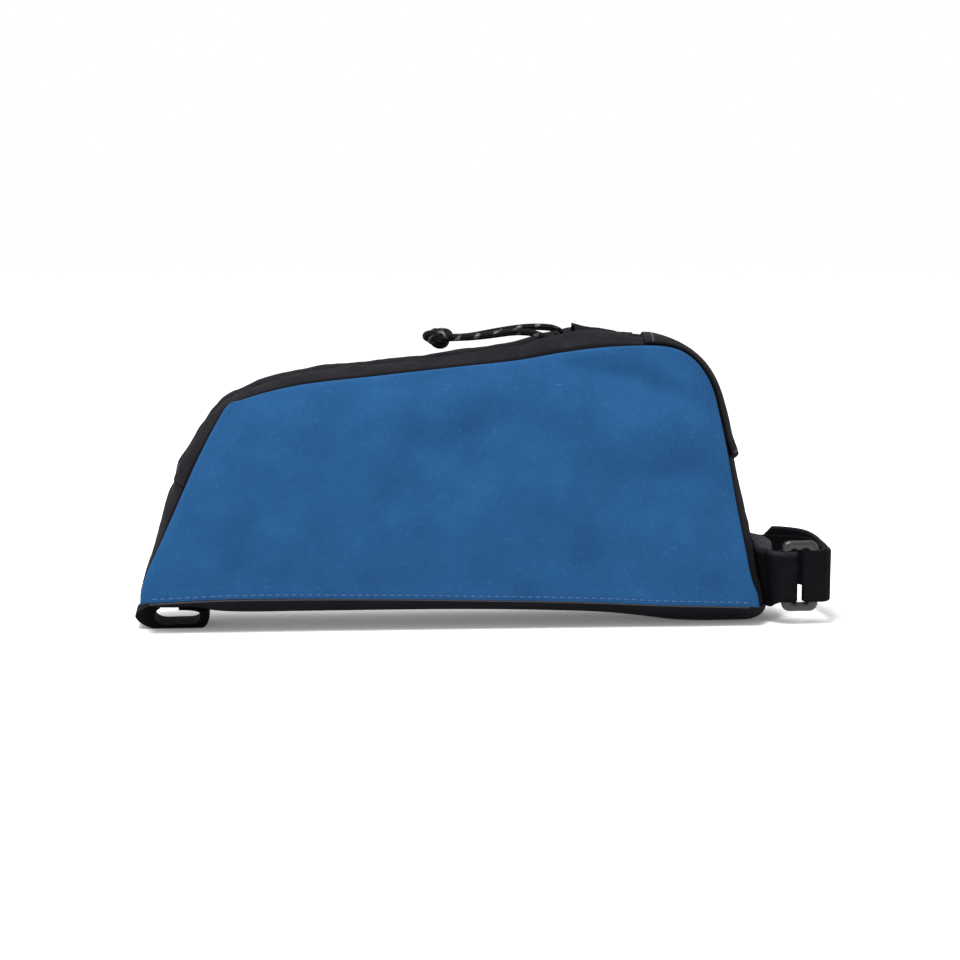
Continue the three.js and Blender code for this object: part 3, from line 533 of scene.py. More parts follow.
def threadMaterial(name, colour):
    material, tree, shader = newMaterial(name, 0.6, Sheen_Weight=0.05, Specular_IOR_Level=0.2)
    place = ownPlace(tree)
    fibre = noise(tree, place, 3500, 3.0)
    dark = tuple(v * 0.55 for v in colour)
    tree.links.new(ramp(tree, fibre, [(0.35, dark), (0.65, colour)]), shader.inputs["Base Color"])
    bump(tree, shader, fibre, 0.4, 0.1 * mm)
    return material


# Pull cord: two legs from the slider's bridge to the knot, and the knot. Their points are counted from the
# slider's seat, in millimetres.
cordLook = {
    "diameter": 2.6 * mm,
    "girth": 2.6 * math.pi * mm,
    "braidPitch": 2.1 * mm,
    "fleckEvery": 7.4 * mm,
    "fleck": linear(92, 92, 96),
    "sides": 16,
    "steps": 150,
    "seatAhead": 36.6 * mm,    # of the low leg's far end
    "seatUnder": 4.3 * mm,     # the knot's middle
}
cordLow = [
    (0.9, -0.25, 3.75), (0.7, -2.4, 3.75), (-0.9, -3.1, 4), (-3.6, -2.8, 4.9), (-7.4, -1.9, 6),
    (-11.8, -1.45, 6.35), (-15.3, -1.45, 6.2), (-19, -1.45, 5.75), (-24.6, -1.45, 5.05),
    (-30.3, -1.45, 4.55), (-36.6, -1.4, 4.3), (-39.2, -1, 4.2),
]
cordHigh = [
    (0.9, 0.25, 3.75), (1.2, 2.8, 3.85), (2.8, 4.3, 4.4), (4, 3.9, 5.4), (3.3, 2.9, 6.6), (1, 2.75, 7.5),
    (-2.5, 2.65, 7.95), (-7.5, 2, 8), (-12, 1.5, 7.7), (-19, 1.45, 6.7), (-26.3, 1.45, 5.4),
    (-31, 1.45, 4.65), (-36.6, 1.4, 4.4), (-39.2, 1, 4.3),
]
knotLook = {
    "length": 10.4 * mm,
    "width": 8.6 * mm,
    "height": 8.3 * mm,
    "strand": 1.35 * mm,
    "steps": 220,
    "turn": 15,          # degrees: lobes to the left, up to the right and down
    "lines": ((0, 1.04, 0.75), (58, 0.74, 0.95)),    # for each strand: turn in degrees, size, depth
    "wave": 0.18,
}


def cordSeat():
    # ahead of the low leg's far end, which is its lowest x, and under the knot's middle
    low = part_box("pull_cord_low")[0]
    knotLow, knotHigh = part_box("pull_knot")
    return np.array([low.x + cordLook["seatAhead"], 0, (knotLow.z + knotHigh.z) / 2 - cordLook["seatUnder"]])


def makeCord():
    material = cordMaterial()
    seat = cordSeat()
    knotLow, knotHigh = (np.array(v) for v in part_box("pull_knot"))
    middle = (knotLow + knotHigh) / 2
    knot = makeKnot(middle, material)
    legs = (("pullCordLow", cordLow, "pull_cord_low"), ("pullCordHigh", cordHigh, "pull_cord_high"))
    for name, rows, rest in legs:
        route = smoothCurve(np.array(rows) * mm, np.linspace(0, 1, 400)) + seat
        route = evenRun(route, cordLook["steps"])
        points = tube(route, cordLook["diameter"] / 2, cordLook["sides"])
        leg = closedRing(name, points, material, (rest,))


def makeKnot(middle, material):
    # two strands wound through each other and a core between them. Each is a three-lobed knot line,
    # x = sin t + 2 sin 2t, y = cos t - 2 cos 2t, z = -sin 3t, turned and fitted to the knot's box.
    t = np.linspace(0, 2 * np.pi, knotLook["steps"], endpoint=False)
    room = np.array([knotLook["length"], knotLook["width"], knotLook["height"]]) / 2 - knotLook["strand"]
    line = np.stack([np.sin(t) + 2 * np.sin(2 * t), np.cos(t) - 2 * np.cos(2 * t)]) / 3
    parts = []
    for turn, size, depth in knotLook["lines"]:
        angle = math.radians(knotLook["turn"] + turn)
        across = line[0] * math.cos(angle) - line[1] * math.sin(angle)
        up = line[0] * math.sin(angle) + line[1] * math.cos(angle)
        wave = knotLook["wave"] * np.sin(2 * t + turn)
        path = np.stack([(across + wave) * size * room[0], -np.sin(3 * t + 0.02 * turn) * depth * room[1],
                         (up - 0.5 * wave) * size * room[2]], axis=1)
        parts.append(closedLoopTube(path + middle, knotLook["strand"], cordLook["sides"]))
    vertices = np.concatenate([p.reshape(-1, 3) for p in parts])
    faces, uvs, start = [], [], 0
    for points in parts:
        quads = quadsOf(*points.shape[:2], start, wrapCols=True, wrapRows=True)
        if signedVolume(vertices, quads) < 0:
            quads = quads[:, ::-1]
        faces.append(quads)
        u = runLength(points.mean(1))
        v = np.linspace(0, cordLook["girth"], points.shape[1], endpoint=False)
        uvs.append(np.stack(np.meshgrid(u, v, indexing="ij"), axis=-1).reshape(-1, 2))
        start += points.shape[0] * points.shape[1]
    piece = meshObject("pullKnot", vertices, np.concatenate(faces), np.concatenate(uvs), material)
    dress(piece, ("pull_knot",))
    makeKnotCore(middle, room, material)
    return piece


def makeKnotCore(middle, room, material):
    # a lumpy ball: the inside of the knot, between the strands
    polar = np.linspace(0, np.pi, 20)[1:-1, None]
    turn = np.linspace(0, 2 * np.pi, 28, endpoint=False)[None]
    swell = 1 + 0.08 * np.sin(5 * turn) * np.sin(3 * polar)
    ball = np.stack([np.cos(polar) * swell, np.sin(polar) * np.cos(turn) * swell,
                     np.sin(polar) * np.sin(turn) * swell], axis=-1)
    closedRing("knotCore", middle + ball * room * (0.8, 0.75, 0.85), material)


def closedLoopTube(path, radius, sides):
    # a tube on a closed path: frames from the loop's middle, so that the end meets the start
    tangent = unit(np.roll(path, -1, axis=0) - np.roll(path, 1, axis=0))
    inward = path.mean(0) - path
    side = unit(inward - tangent * (inward * tangent).sum(1, keepdims=True))
    other = np.cross(tangent, side)
    angle = np.linspace(0, 2 * np.pi, sides, endpoint=False)
    ring = np.cos(angle)[None, :, None] * side[:, None] + np.sin(angle)[None, :, None] * other[:, None]
    return path[:, None] + radius * ring


makeCord()


# The side's seam from the tail foot over the top to the front foot: shares of the side's length and height,
# the strip's rise as a share of its crown, and the zip's trough as a share of its depth
seamRows = np.array([
    (0, 0.046, 0.06, 0), (0.002, 0.092, 0.02, 0), (0.012, 0.166, 0, 0), (0.036, 0.285, 0.25, 0),
    (0.065, 0.435, 0.56, 0), (0.094, 0.584, 0.56, 0.3), (0.125, 0.721, 0.36, 0.4),
    (0.142, 0.784, 0.14, 0.3), (0.151, 0.798, 0.12, 0.3), (0.164, 0.805, 0.21, 0.4),
    (0.194, 0.827, 0.36, 0.6), (0.258, 0.86, 0.46, 0.8), (0.385, 0.893, 0.46, 0.9),
    (0.513, 0.925, 0.51, 1), (0.608, 0.948, 0.6, 1.15), (0.674, 0.974, 0.83, 1.92),
    (0.739, 0.993, 0.83, 1.75), (0.803, 1, 0.36, 0.3), (0.845, 0.996, 0.29, 0), (0.87, 0.981, 0.24, 0),
    (0.893, 0.945, 0.28, 0), (0.91, 0.897, 0.38, 0), (0.923, 0.839, 0.45, 0), (0.937, 0.718, 0.54, 0),
    (0.951, 0.566, 0.54, 0), (0.963, 0.413, 0.62, 0), (0.977, 0.259, 0.68, 0), (0.991, 0.11, 0.62, 0),
    (1.001, 0.048, 0.52, 0), (1.004, 0, 0.52, 0),
])
shoulderRow, frontTopRow = 8, 20
# The base: its seam, and its keel as shares of the side's length and of the base's depth
baseRows = np.array([
    (0, 0.04, 0.002, 1.54), (0.006, 0.044, 0.007, 1.28), (0.02, 0.046, 0.021, 1.09),
    (0.045, 0.048, 0.046, 1.04), (0.085, 0.052, 0.085, 1.03), (0.115, 0.0545, 0.12, 0.86),
    (0.16, 0.056, 0.16, 0.78), (0.255, 0.055, 0.255, 0.77), (0.415, 0.048, 0.415, 0.77),
    (0.545, 0.04, 0.545, 0.74), (0.675, 0.031, 0.675, 0.63), (0.755, 0.023, 0.758, 0.5),
    (0.815, 0.015, 0.822, 0.28), (0.86, 0.0095, 0.872, 0.08), (0.92, 0.005, 0.93, 0),
    (0.955, 0.002, 0.976, 0), (0.978, 0, 1.004, 0.06), (0.992, -0.0015, 1.02, 0.32),
    (0.999, -0.0025, 1.027, 0.68), (1.004, -0.003, 1.0268, 1.02),
])
strip = {
    "crown": 8.0 * mm,
    "crownPower": 3.4,
    "troughDepth": 4.0 * mm,
    "troughHalf": 6.0 * mm,
    "slotHalf": 4.2 * mm,
    "foldHeight": 0.9 * mm,
    "edgeRoll": 1.1 * mm,
    "crossSlant": 0.1,
    "crumple": 0.14 * mm,
}
# Wrinkles over the strip: where as a share of the seam's length, half width and skew as shares of the bag's
# width, height as a share of the fold height. The last four are sharper creases.
foldRows = np.array([
    (0.12, 0.06, 0.05, -0.9), (0.148, 0.08, -0.06, 0.8), (0.205, 0.12, 0.1, 0.4),
    (0.29, 0.11, 0.22, -0.5), (0.345, 0.13, -0.18, 0.5), (0.425, 0.12, 0.2, -0.5),
    (0.505, 0.11, -0.24, 0.4), (0.56, 0.09, 0.2, -0.4), (0.168, 0.026, 0.3, 0.3),
    (0.238, 0.022, -0.35, -0.28), (0.395, 0.02, 0.45, 0.22), (0.47, 0.024, 0.4, -0.25),
])


def rowPlace(along, up):
    return np.stack([footX + along * bag["sideLength"], bag["baseDepth"] + up * bag["sideHeight"]], axis=-1)


seamT = np.linspace(0, 1, 8001)
seamDense = smoothCurve(rowPlace(seamRows[:, 0], seamRows[:, 1]), seamT)
stripDense = smoothCurve(seamRows[:, 2:], seamT, even=True)
seamRun = runLength(seamDense)
seamLength = seamRun[-1]
seamShare = seamRun / seamLength
seamWay = unit(np.gradient(seamDense, axis=0))
baseT = np.linspace(0, 1, 4001)
baseDense = smoothCurve(rowPlace(baseRows[:, 0], baseRows[:, 1]), baseT)


def shareOnTop(along):
    middle = (seamShare > 0.3) & (seamShare < 0.9)
    return float(np.interp(footX + along * bag["sideLength"], seamDense[middle, 0], seamShare[middle]))


def shareOnFront(height):
    front = seamShare > 0.8
    return float(np.interp(-height, -seamDense[front, 1], seamShare[front]))


def shareOnTail(up):
    tail = seamShare < 0.2
    return float(np.interp(bag["baseDepth"] + up * bag["sideHeight"], seamDense[tail, 1], seamShare[tail]))


tailSeam = shareOnTail(0.475)
zipEnd = shareOnTop(0.8135)
sliderAt = shareOnTop(0.672)
hoodMouth = shareOnTop(0.712)
hoodEnd = shareOnTop(0.8085)
overlayEnd = shareOnFront(bag["baseDepth"] + 0.563 * bag["sideHeight"])
anchorTop = shareOnFront(bag["baseDepth"] + 0.215 * bag["sideHeight"])
seamGap = bag["clearance"] / seamLength


def onStrip(share, across, lift=0.0):
    # a point on the strip: the seam's point, moved out by the crown's rise between the seams (one less the
    # distance from the middle to its power), less the trough's bell, plus the wrinkles' bells and the lift
    share, across = np.broadcast_arrays(np.asarray(share, float), np.asarray(across, float))
    at = lambda values: np.interp(share, seamShare, values)
    swell = 1 - np.abs(np.clip(across / stripHalf, -1, 1)) ** strip["crownPower"]
    rise = at(stripDense[:, 0]) * strip["crown"] * swell
    trough = np.maximum(at(stripDense[:, 1]), 0) * strip["troughDepth"]
    rise = rise - trough * np.exp(-(across / strip["troughHalf"]) ** 2)
    for place, width, skew, height in foldRows:
        offset = (share - place) * seamLength - 2 * skew * across
        bell = np.exp(-(offset / (width * 2 * bag["halfWidth"])) ** 2)
        rise = rise + height * strip["foldHeight"] * swell * bell
    rise = rise + lift
    outX, outZ = -at(seamWay[:, 1]), at(seamWay[:, 0])
    return np.stack([at(seamDense[:, 0]) + outX * rise, across, at(seamDense[:, 1]) + outZ * rise], axis=-1)


def softCrumple(share, across, size, seed):
    # fine creases: ridges of a sum of slanted waves, in millimetres of the surface
    rng = np.random.default_rng(seed)
    x, y = share * seamLength / mm, across / mm
    total = np.zeros(np.broadcast(x, y).shape)
    for _ in range(9):
        angle = rng.uniform(-1.1, 1.1)
        wave = 2 * np.pi / rng.uniform(9, 26)
        phase = rng.uniform(0, 2 * np.pi)
        bend = 1.5 * np.sin(y * rng.uniform(0.05, 0.14) + phase)
        way = x * np.cos(angle) + y * np.sin(angle) + bend
        total += (1 - np.abs(np.sin(way * wave / 2 + phase))) ** 3 * rng.uniform(-1, 1)
    return total * size


def tight(count, amount=0.75):
    # 0 to 1 with smaller steps at both ends
    a = np.linspace(0, 1, count)
    return a - amount * np.sin(2 * np.pi * a) / (2 * np.pi)


def rollIn(distance, radius):
    # how far a cloth edge curls in at a distance from it: a quarter circle
    d = np.clip(distance, 0, radius)
    return radius - np.sqrt(np.maximum(radius ** 2 - (radius - d) ** 2, 0))


# Side panels
sidePanel = {
    "dome": 3.2 * mm,
    "domeEdge": 24 * mm,
    "domeFoot": 40 * mm,
    "dentDepth": 3.2 * mm,
    "columns": 230,
    "rows": 104,
    "edgeRoll": 1.2 * mm,
    "waves": 16,
    "waveSlope": 0.026,
    "simColumns": 76,
    "simRows": 34,
    "simCap": 0.9 * mm,
    "simFrames": 20,
    "simPressure": 0.02,
    "cloth": {
        "quality": 6, "mass": 0.25, "tension_stiffness": 25, "compression_stiffness": 8,
        "bending_stiffness": 0.6, "shrink_min": -0.012, "vertex_group_mass": "seam", "use_pressure": True,
    },
}
# Hollows and swells: along, up, half length, half height, depth share, lean in degrees
dentRows = np.array([
    (0.815, 0.85, 0.15, 0.055, 0.6, -18), (0.83, 0.69, 0.14, 0.06, -0.4, -14),
    (0.865, 0.515, 0.1, 0.06, 0.6, -6), (0.935, 0.335, 0.03, 0.03, 0.45, -12),
    (0.52, 0.64, 0.17, 0.11, 0.35, 24), (0.3, 0.5, 0.12, 0.16, -0.3, 50),
    (0.18, 0.3, 0.09, 0.09, 0.35, 62), (0.62, 0.18, 0.22, 0.07, 0.35, 3),
    (0.655, 0.895, 0.016, 0.03, 0.14, -60), (0.7, 0.88, 0.014, 0.035, -0.12, -50),
    (0.955, 0.6, 0.012, 0.03, 0.16, 20), (0.948, 0.43, 0.014, 0.02, -0.16, 30),
    (0.1, 0.42, 0.012, 0.04, 0.14, 60), (0.4, 0.86, 0.016, 0.02, 0.1, -20),
])
shoulderT = shoulderRow / (len(seamRows) - 1)
frontTopT = frontTopRow / (len(seamRows) - 1)


def seamEdge(low, high, count):
    return evenRun(seamDense[(seamT >= low) & (seamT <= high)], count)


def sideGrid(u, v):
    # a patch between the four runs of the seam: the two pairs of edges blended, less the blend of the corners
    dense = 2000
    edges = {
        "foot": evenRun(baseDense, dense),
        "top": seamEdge(shoulderT, frontTopT, dense),
        "tail": seamEdge(0, shoulderT, dense),
        "front": seamEdge(frontTopT, 1, dense)[::-1],
    }
    line = np.linspace(0, 1, dense)
    pick = lambda name, at: np.stack([np.interp(at, line, edges[name][:, k]) for k in range(2)], axis=-1)
    foot, top = pick("foot", u)[:, None], pick("top", u)[:, None]
    tail, front = pick("tail", v)[None], pick("front", v)[None]
    a, b = u[:, None, None], v[None, :, None]
    corners = ((1 - a) * (1 - b) * edges["tail"][0] + a * (1 - b) * edges["front"][0]
               + (1 - a) * b * edges["tail"][-1] + a * b * edges["front"][-1])
    return foot * (1 - b) + top * b + tail * (1 - a) + front * a - corners


def sideSwell(u, v, place):
    # the dome: each edge's slope is one less a squared fall, and the four are multiplied; then the dents
    slope = lambda distance, width: 1 - (1 - np.minimum(distance / width, 1)) ** 2
    length, height = bag["sideLength"], bag["sideHeight"]
    a, b = u[:, None], v[None, :]
    edge = sidePanel["domeEdge"]
    swell = (sidePanel["dome"] * slope(a * length, edge) * slope((1 - a) * length, edge)
             * slope(b * height, sidePanel["domeFoot"]) * slope((1 - b) * height, edge))
    fade = smoothStep(6 * a) * smoothStep(9 - 9 * a) * smoothStep(6 * b) * smoothStep(8 - 8 * b)
    for along, up, halfLength, halfHeight, depth, lean in dentRows:
        turn = math.radians(lean)
        dx = place[..., 0] - footX - along * length
        dz = place[..., 1] - bag["baseDepth"] - up * height
        far = (dx * math.cos(turn) + dz * math.sin(turn)) / (halfLength * length)
        high = (dz * math.cos(turn) - dx * math.sin(turn)) / (halfHeight * height)
        swell = swell - fade * depth * sidePanel["dentDepth"] * np.exp(-far ** 2 - high ** 2)
    return swell


def softWaves(place, seed):
    # slow folds of the canvas: slanted sine waves of 16 to 60 mm, each as high as its length times the slope,
    # over 2 pi, and faded in and out by a wider wave
    rng = np.random.default_rng(seed)
    x, z = place[..., 0], place[..., 1]
    total = np.zeros(x.shape)
    for _ in range(sidePanel["waves"]):
        length = rng.uniform(16, 60) * mm
        lean = math.radians(rng.normal(-48, 34))
        phase, bend = rng.uniform(0, 2 * np.pi, 2)
        way = x * math.cos(lean) - z * math.sin(lean) + 4 * mm * np.sin(z / (23 * mm) + x / (41 * mm) + bend)
        fade = 0.5 + 0.5 * np.sin(x / (rng.uniform(25, 55) * mm) + z / (rng.uniform(20, 45) * mm) + bend)
        height = sidePanel["waveSlope"] * length / (2 * np.pi)
        total += height * np.sin(2 * np.pi * way / length + phase) * fade
    return total


def settleCloth(side):
    # the panel as cloth, held along its seams, cut a little too large and blown out softly: how far each
    # point of a coarse grid moves out of the bag, less the median, smoothed twice and capped by a tanh
    u, v = np.linspace(0, 1, sidePanel["simColumns"]), np.linspace(0, 1, sidePanel["simRows"])
    place = sideGrid(u, v)
    y = side * (bag["halfWidth"] + sideSwell(u, v, place))
    start = np.stack([place[..., 0], y, place[..., 1]], axis=-1)
    rows, cols = start.shape[:2]
    piece = meshObject("clothTrial", start.reshape(-1, 3), quadsOf(rows, cols))
    edge = np.zeros((rows, cols), bool)
    edge[:2], edge[-2:], edge[:, :2], edge[:, -2:] = True, True, True, True
    held = piece.vertex_groups.new(name="seam")
    held.add(np.flatnonzero(edge.ravel()).tolist(), 1.0, "REPLACE")
    cloth = piece.modifiers.new("cloth", "CLOTH")
    for key, value in sidePanel["cloth"].items():
        setattr(cloth.settings, key, value)
    cloth.settings.uniform_pressure_force = sidePanel["simPressure"] * side
    cloth.settings.effector_weights.gravity = 0
    cloth.point_cache.frame_start = 1
    cloth.point_cache.frame_end = sidePanel["simFrames"]
    scene = bpy.context.scene
    for step in range(1, sidePanel["simFrames"] + 1):
        scene.frame_set(step)
    ready = piece.evaluated_get(bpy.context.evaluated_depsgraph_get()).data
    ended = np.zeros(len(ready.vertices) * 3, np.float32)
    ready.vertices.foreach_get("co", ended)
    moved = (ended.reshape(start.shape) - start)[..., 1] * side
    scene.frame_set(1)
    bpy.data.objects.remove(piece)
    moved = moved - np.median(moved)
    moved[edge] = 0
    for _ in range(2):
        inside = (moved[:-2, 1:-1] + moved[2:, 1:-1] + moved[1:-1, :-2] + moved[1:-1, 2:]) / 4
        moved[1:-1, 1:-1] = 0.5 * moved[1:-1, 1:-1] + 0.5 * inside
    cap = sidePanel["simCap"]
    print("cloth side", side, "moved", round(float(np.abs(moved).max() / mm), 2), "mm before the cap")
    return u, v, cap * np.tanh(moved / cap)


def makeSide(name, replaced, side, material):
    # out of the seam's plane by the dome with its dents, the settled cloth and the slow folds, less the roll
    u, v = tight(sidePanel["columns"]), tight(sidePanel["rows"])
    place = sideGrid(u, v)
    simU, simV, settled = settleCloth(side)
    columns = np.stack([np.interp(v, simV, row) for row in settled])
    settled = np.stack([np.interp(u, simU, columns[:, k]) for k in range(len(v))], axis=1)
    length, height = bag["sideLength"], bag["sideHeight"]
    away = np.minimum(np.minimum(u, 1 - u)[:, None] * length, np.minimum(v, 1 - v)[None, :] * height)
    swell = sideSwell(u, v, place) + settled + softWaves(place, 40 + side) * smoothStep(away / (14 * mm))
    outerY = bag["halfWidth"] + swell - rollIn(away, sidePanel["edgeRoll"])
    innerY = bag["halfWidth"] + swell - bag["sideWall"]
    least = bag["halfWidth"] - 2 * mm
    grid = lambda y: np.stack([place[..., 0], side * np.maximum(y, least), place[..., 1]], axis=-1)
    clothWall(name, grid(outerY), grid(innerY), material, (replaced,))
    return grid(outerY), v


blueCanvas = wovenMaterial("blueCanvas", looks["blueCanvas"])
nearGrid, panelV = makeSide("sidePanelNear", "side_panel_near", -1, blueCanvas)
farGrid = makeSide("sidePanelFar", "side_panel_far", 1, blueCanvas)[0]
print("side panels made")


# Topstitching along the panels' lower edges, and the pale folded edge under it
footStitch = {"rise": 1.7 * mm, "pitch": 2.9 * mm, "length": 2.1 * mm, "radius": 0.24 * mm}
edgeLine = {"from": 45 * mm, "over": 50 * mm, "drop": 0.35 * mm, "radius": 0.42 * mm}


def onPanel(grid, rise, count):
    # points at even steps on the panel at a height over its lower edge
    high = rise / bag["sideHeight"]
    row = [[np.interp(high, panelV, column[:, k]) for k in range(3)] for column in grid]
    return evenRun(np.array(row), count)


def makeFootStitch(name, grid, side):
    row = onPanel(grid, footStitch["rise"], int(bag["sideLength"] / footStitch["pitch"]))[2:-2]
    out = np.tile((0.0, side, -0.15), (len(row), 1))
    stitchRow(name, row, np.gradient(row, axis=0), out, blueThread, footStitch["length"],
              footStitch["radius"])


def makeEdgeLine(name, side):
    # a thin folded edge that shows under the canvas at the tail, and slips inwards ahead of it
    path = evenRun(baseDense, 260)[4:-4]
    slip = smoothStep((path[:, 0] - footX - edgeLine["from"]) / edgeLine["over"])
    y = side * (stripHalf + (0.95 - 1.3 * slip) * mm)
    line = np.stack([path[:, 0], y, path[:, 1] - edgeLine["drop"]], axis=1)
    closedRing(name, tube(line, edgeLine["radius"], 8), paleEdge)


blueThread = threadMaterial("blueThread", linear(58, 94, 138))
greyThread = threadMaterial("greyThread", linear(112, 112, 118))
paleEdge = threadMaterial("paleEdge", linear(60, 60, 68))
makeFootStitch("footStitchNear", nearGrid, -1)
makeFootStitch("footStitchFar", farGrid, 1)
makeEdgeLine("edgeLineNear", -1)
makeEdgeLine("edgeLineFar", 1)


# The strip: tail, zip strips, front and the second layer on the front
stripLook = {"across": 64, "zipAcross": 30, "overlayRows": 150}


def crossSlant(across):
    # the cross seam on the top runs a little forward towards the far side
    return strip["crossSlant"] * (across + stripHalf) / seamLength


def makeStripPiece(name, replaced, fromShare, toShare, ys, rows, seed, slant):
    # seed: of the fine creases; slant: how much of the cross seam's slant the first and the last edge take
    gone = tight(rows, 0.3)[:, None]
    across = ys[None, :]
    shares = fromShare + (toShare - fromShare) * gone
    shares = shares + crossSlant(across) * (slant[0] * (1 - gone) + slant[1] * gone)
    swell = 1 - np.abs(np.clip(across / stripHalf, -1, 1)) ** 6
    fine = softCrumple(shares, across, strip["crumple"], seed) * swell
    roll = rollIn(across - ys[0], strip["edgeRoll"]) + rollIn(ys[-1] - across, strip["edgeRoll"])
    outer = onStrip(shares, across, fine - roll)
    inner = onStrip(shares, across, -bag["stripWall"])
    clothWall(name, outer, inner, darkCloth, (replaced,))


darkCloth = wovenMaterial("darkCloth", looks["darkCloth"])
fullAcross = stripHalf * (2 * tight(stripLook["across"], 0.7) - 1)
zipAcross = strip["slotHalf"] + (stripHalf - strip["slotHalf"]) * tight(stripLook["zipAcross"], 0.7)
stripPieces = (
    ("tailGusset", "tail_gusset", 3 * seamGap, tailSeam - seamGap, fullAcross, 80, 3, (0, 0)),
    ("zipStripNear", "zip_strip_near", tailSeam, zipEnd - seamGap, -zipAcross[::-1], 420, 5, (0, 1)),
    ("zipStripFar", "zip_strip_far", tailSeam, zipEnd - seamGap, zipAcross, 420, 6, (0, 1)),
    ("frontGusset", "front_gusset", zipEnd, 1 - seamGap, fullAcross, 190, 8, (1, 0)),
)
for stripPiece in stripPieces:
    makeStripPiece(*stripPiece)

overlay = {"wall": 0.8 * mm, "lip": 1.0 * mm, "lipLength": 10 * mm, "half": stripHalf - 0.7 * mm}


def makeOverlay():
    # over the strip by the gap and its own wall, and by the lip, a smooth step up to its lower edge
    gone = tight(stripLook["overlayRows"], 0.3)[:, None]
    ys = overlay["half"] * (2 * tight(stripLook["across"], 0.7) - 1)
    across = ys[None, :]
    share = zipEnd + (overlayEnd - zipEnd) * gone + crossSlant(across) * (1 - gone)
    lipped = (share - overlayEnd) * seamLength / overlay["lipLength"] + 1
    lift = bag["clearance"] + overlay["wall"] + overlay["lip"] * smoothStep(lipped)
    fromStart = (share - zipEnd - crossSlant(across)) * seamLength
    fromEnd = (overlayEnd - share) * seamLength
    roll = (rollIn(fromStart, 0.7 * mm) + rollIn(fromEnd, 0.5 * mm) + rollIn(across - ys[0], 0.6 * mm)
            + rollIn(ys[-1] - across, 0.6 * mm))
    fine = softCrumple(share, across, 0.06 * mm, 11)
    outer = onStrip(share, across, lift + fine - roll * 0.8)
    inner = onStrip(share, across, lift - overlay["wall"] + 0 * across)
    clothWall("frontOverlay", outer, inner, darkCloth, ("front_overlay",))
    # topstitch across, a little behind the overlay's start, and one over its lip
    for name, at, rise in (("overlayStitch", zipEnd + 3.0 * mm / seamLength, -0.05 * mm),
                           ("lipStitch", overlayEnd - 2.2 * mm / seamLength, 0.75 * mm)):
        y = np.arange(-overlay["half"] + 1.2 * mm, overlay["half"] - 1.2 * mm, 1.9 * mm)
        place = at + crossSlant(y) * (at < zipEnd + 0.05)
        row = onStrip(place, y, bag["clearance"] + overlay["wall"] + rise + 0.1 * mm)
        out = unit(onStrip(place, y, 1 * mm) - onStrip(place, y, 0))
        stitchRow(name, row, np.gradient(row, axis=0), out, greyThread, 1.4 * mm, 0.17 * mm)


makeOverlay()
print("strip made")


# Zip: the tape, and the closed row of teeth: one bent bar for each tooth
zipLook = {
    "tapeHalf": 9.5 * mm,
    "tapeThick": 0.8 * mm,
    "under": 1.6 * mm,         # from the strip's outside, besides the gap
    "pitch": 1.25 * mm,
    "coilHalf": 2.3 * mm,
    "toothLow": 0.55 * mm,
    "toothRise": 0.93 * mm,
    "toothRadius": 0.46 * mm,
    "sliderHalf": 5.25 * mm,
}


def onTape(share, across, lift):
    # a point over the tape: the strip's height at the slot's edge, less its wall and the gap
    edge = onStrip(share, strip["slotHalf"], -zipLook["under"] - bag["clearance"] + lift)
    edge[..., 1] = across
    return edge


def makeTape():
    # level under the strips, and as low as the slot's edges between them
    shares = np.linspace(tailSeam, zipEnd - seamGap, 300)[:, None]
    ys = zipLook["tapeHalf"] * (2 * tight(30, 0.5) - 1)[None, :]
    under = np.maximum(np.abs(ys), strip["slotHalf"])
    level = onStrip(shares, under, -zipLook["under"] - bag["clearance"])
    outer = level.copy()
    outer[..., 1] = ys + 0 * shares
    inner = onStrip(shares, under, -zipLook["under"] - bag["clearance"] - zipLook["tapeThick"])
    inner[..., 1] = ys + 0 * shares
    clothWall("zipTape", outer, inner, zipCloth, ("zip_tape",))


def makeTeeth():
    # each tooth crosses the zip in a low arch: y goes from side to side, the height is a flattened half wave
    start, end = tailSeam + seamGap * 3, sliderAt - (zipLook["sliderHalf"] + bag["clearance"]) / seamLength
    count = int((end - start) * seamLength / zipLook["pitch"])
    at = np.linspace(start, end, count)
    s = np.linspace(-1, 1, 9)
    heads, sides = len(s), 6
    y = s * zipLook["coilHalf"]
    skew = 0.42 * zipLook["pitch"] * s / seamLength
    share = at[:, None] + skew[None, :] * np.where(np.arange(count) % 2, 1, -1)[:, None]
    lift = zipLook["toothLow"] + zipLook["toothRise"] * (1 - s[None, :] ** 4) + 0 * at[:, None]
    path = onTape(share, np.broadcast_to(y, share.shape), lift)
    ahead = onTape(share + 0.1 * mm / seamLength, np.broadcast_to(y, share.shape), lift)
    along = unit(ahead - path)
    way = unit(np.gradient(path, axis=1))
    up = np.cross(along, way)
    up = up * np.sign(up[..., 2:3] + 1e-9)
    angle = np.linspace(0, 2 * np.pi, sides, endpoint=False)
    radius = zipLook["toothRadius"] * (1 - 0.35 * s ** 8)[None, :, None, None]
    rings = path[:, :, None] + radius * (np.cos(angle)[:, None] * along[:, :, None] * 1.05
                                         + np.sin(angle)[:, None] * up[:, :, None])
    block = heads * sides
    vertices = rings.reshape(-1, 3)
    quads = quadsOf(heads, sides, wrapCols=True)
    ends = [list(range(sides)), list(range(block - sides, block))[::-1]]
    if signedVolume(vertices[:block] - vertices[:block].mean(0), quads) < 0:
        quads = quads[:, ::-1]
    else:
        ends = [face[::-1] for face in ends]
    faces = [[k + v for v in face] for k in range(0, count * block, block) for face in quads.tolist() + ends]
    piece = meshObject("zipTeeth", vertices, faces, None, teethMaterial)
    dress(piece, ("zip_coil",))


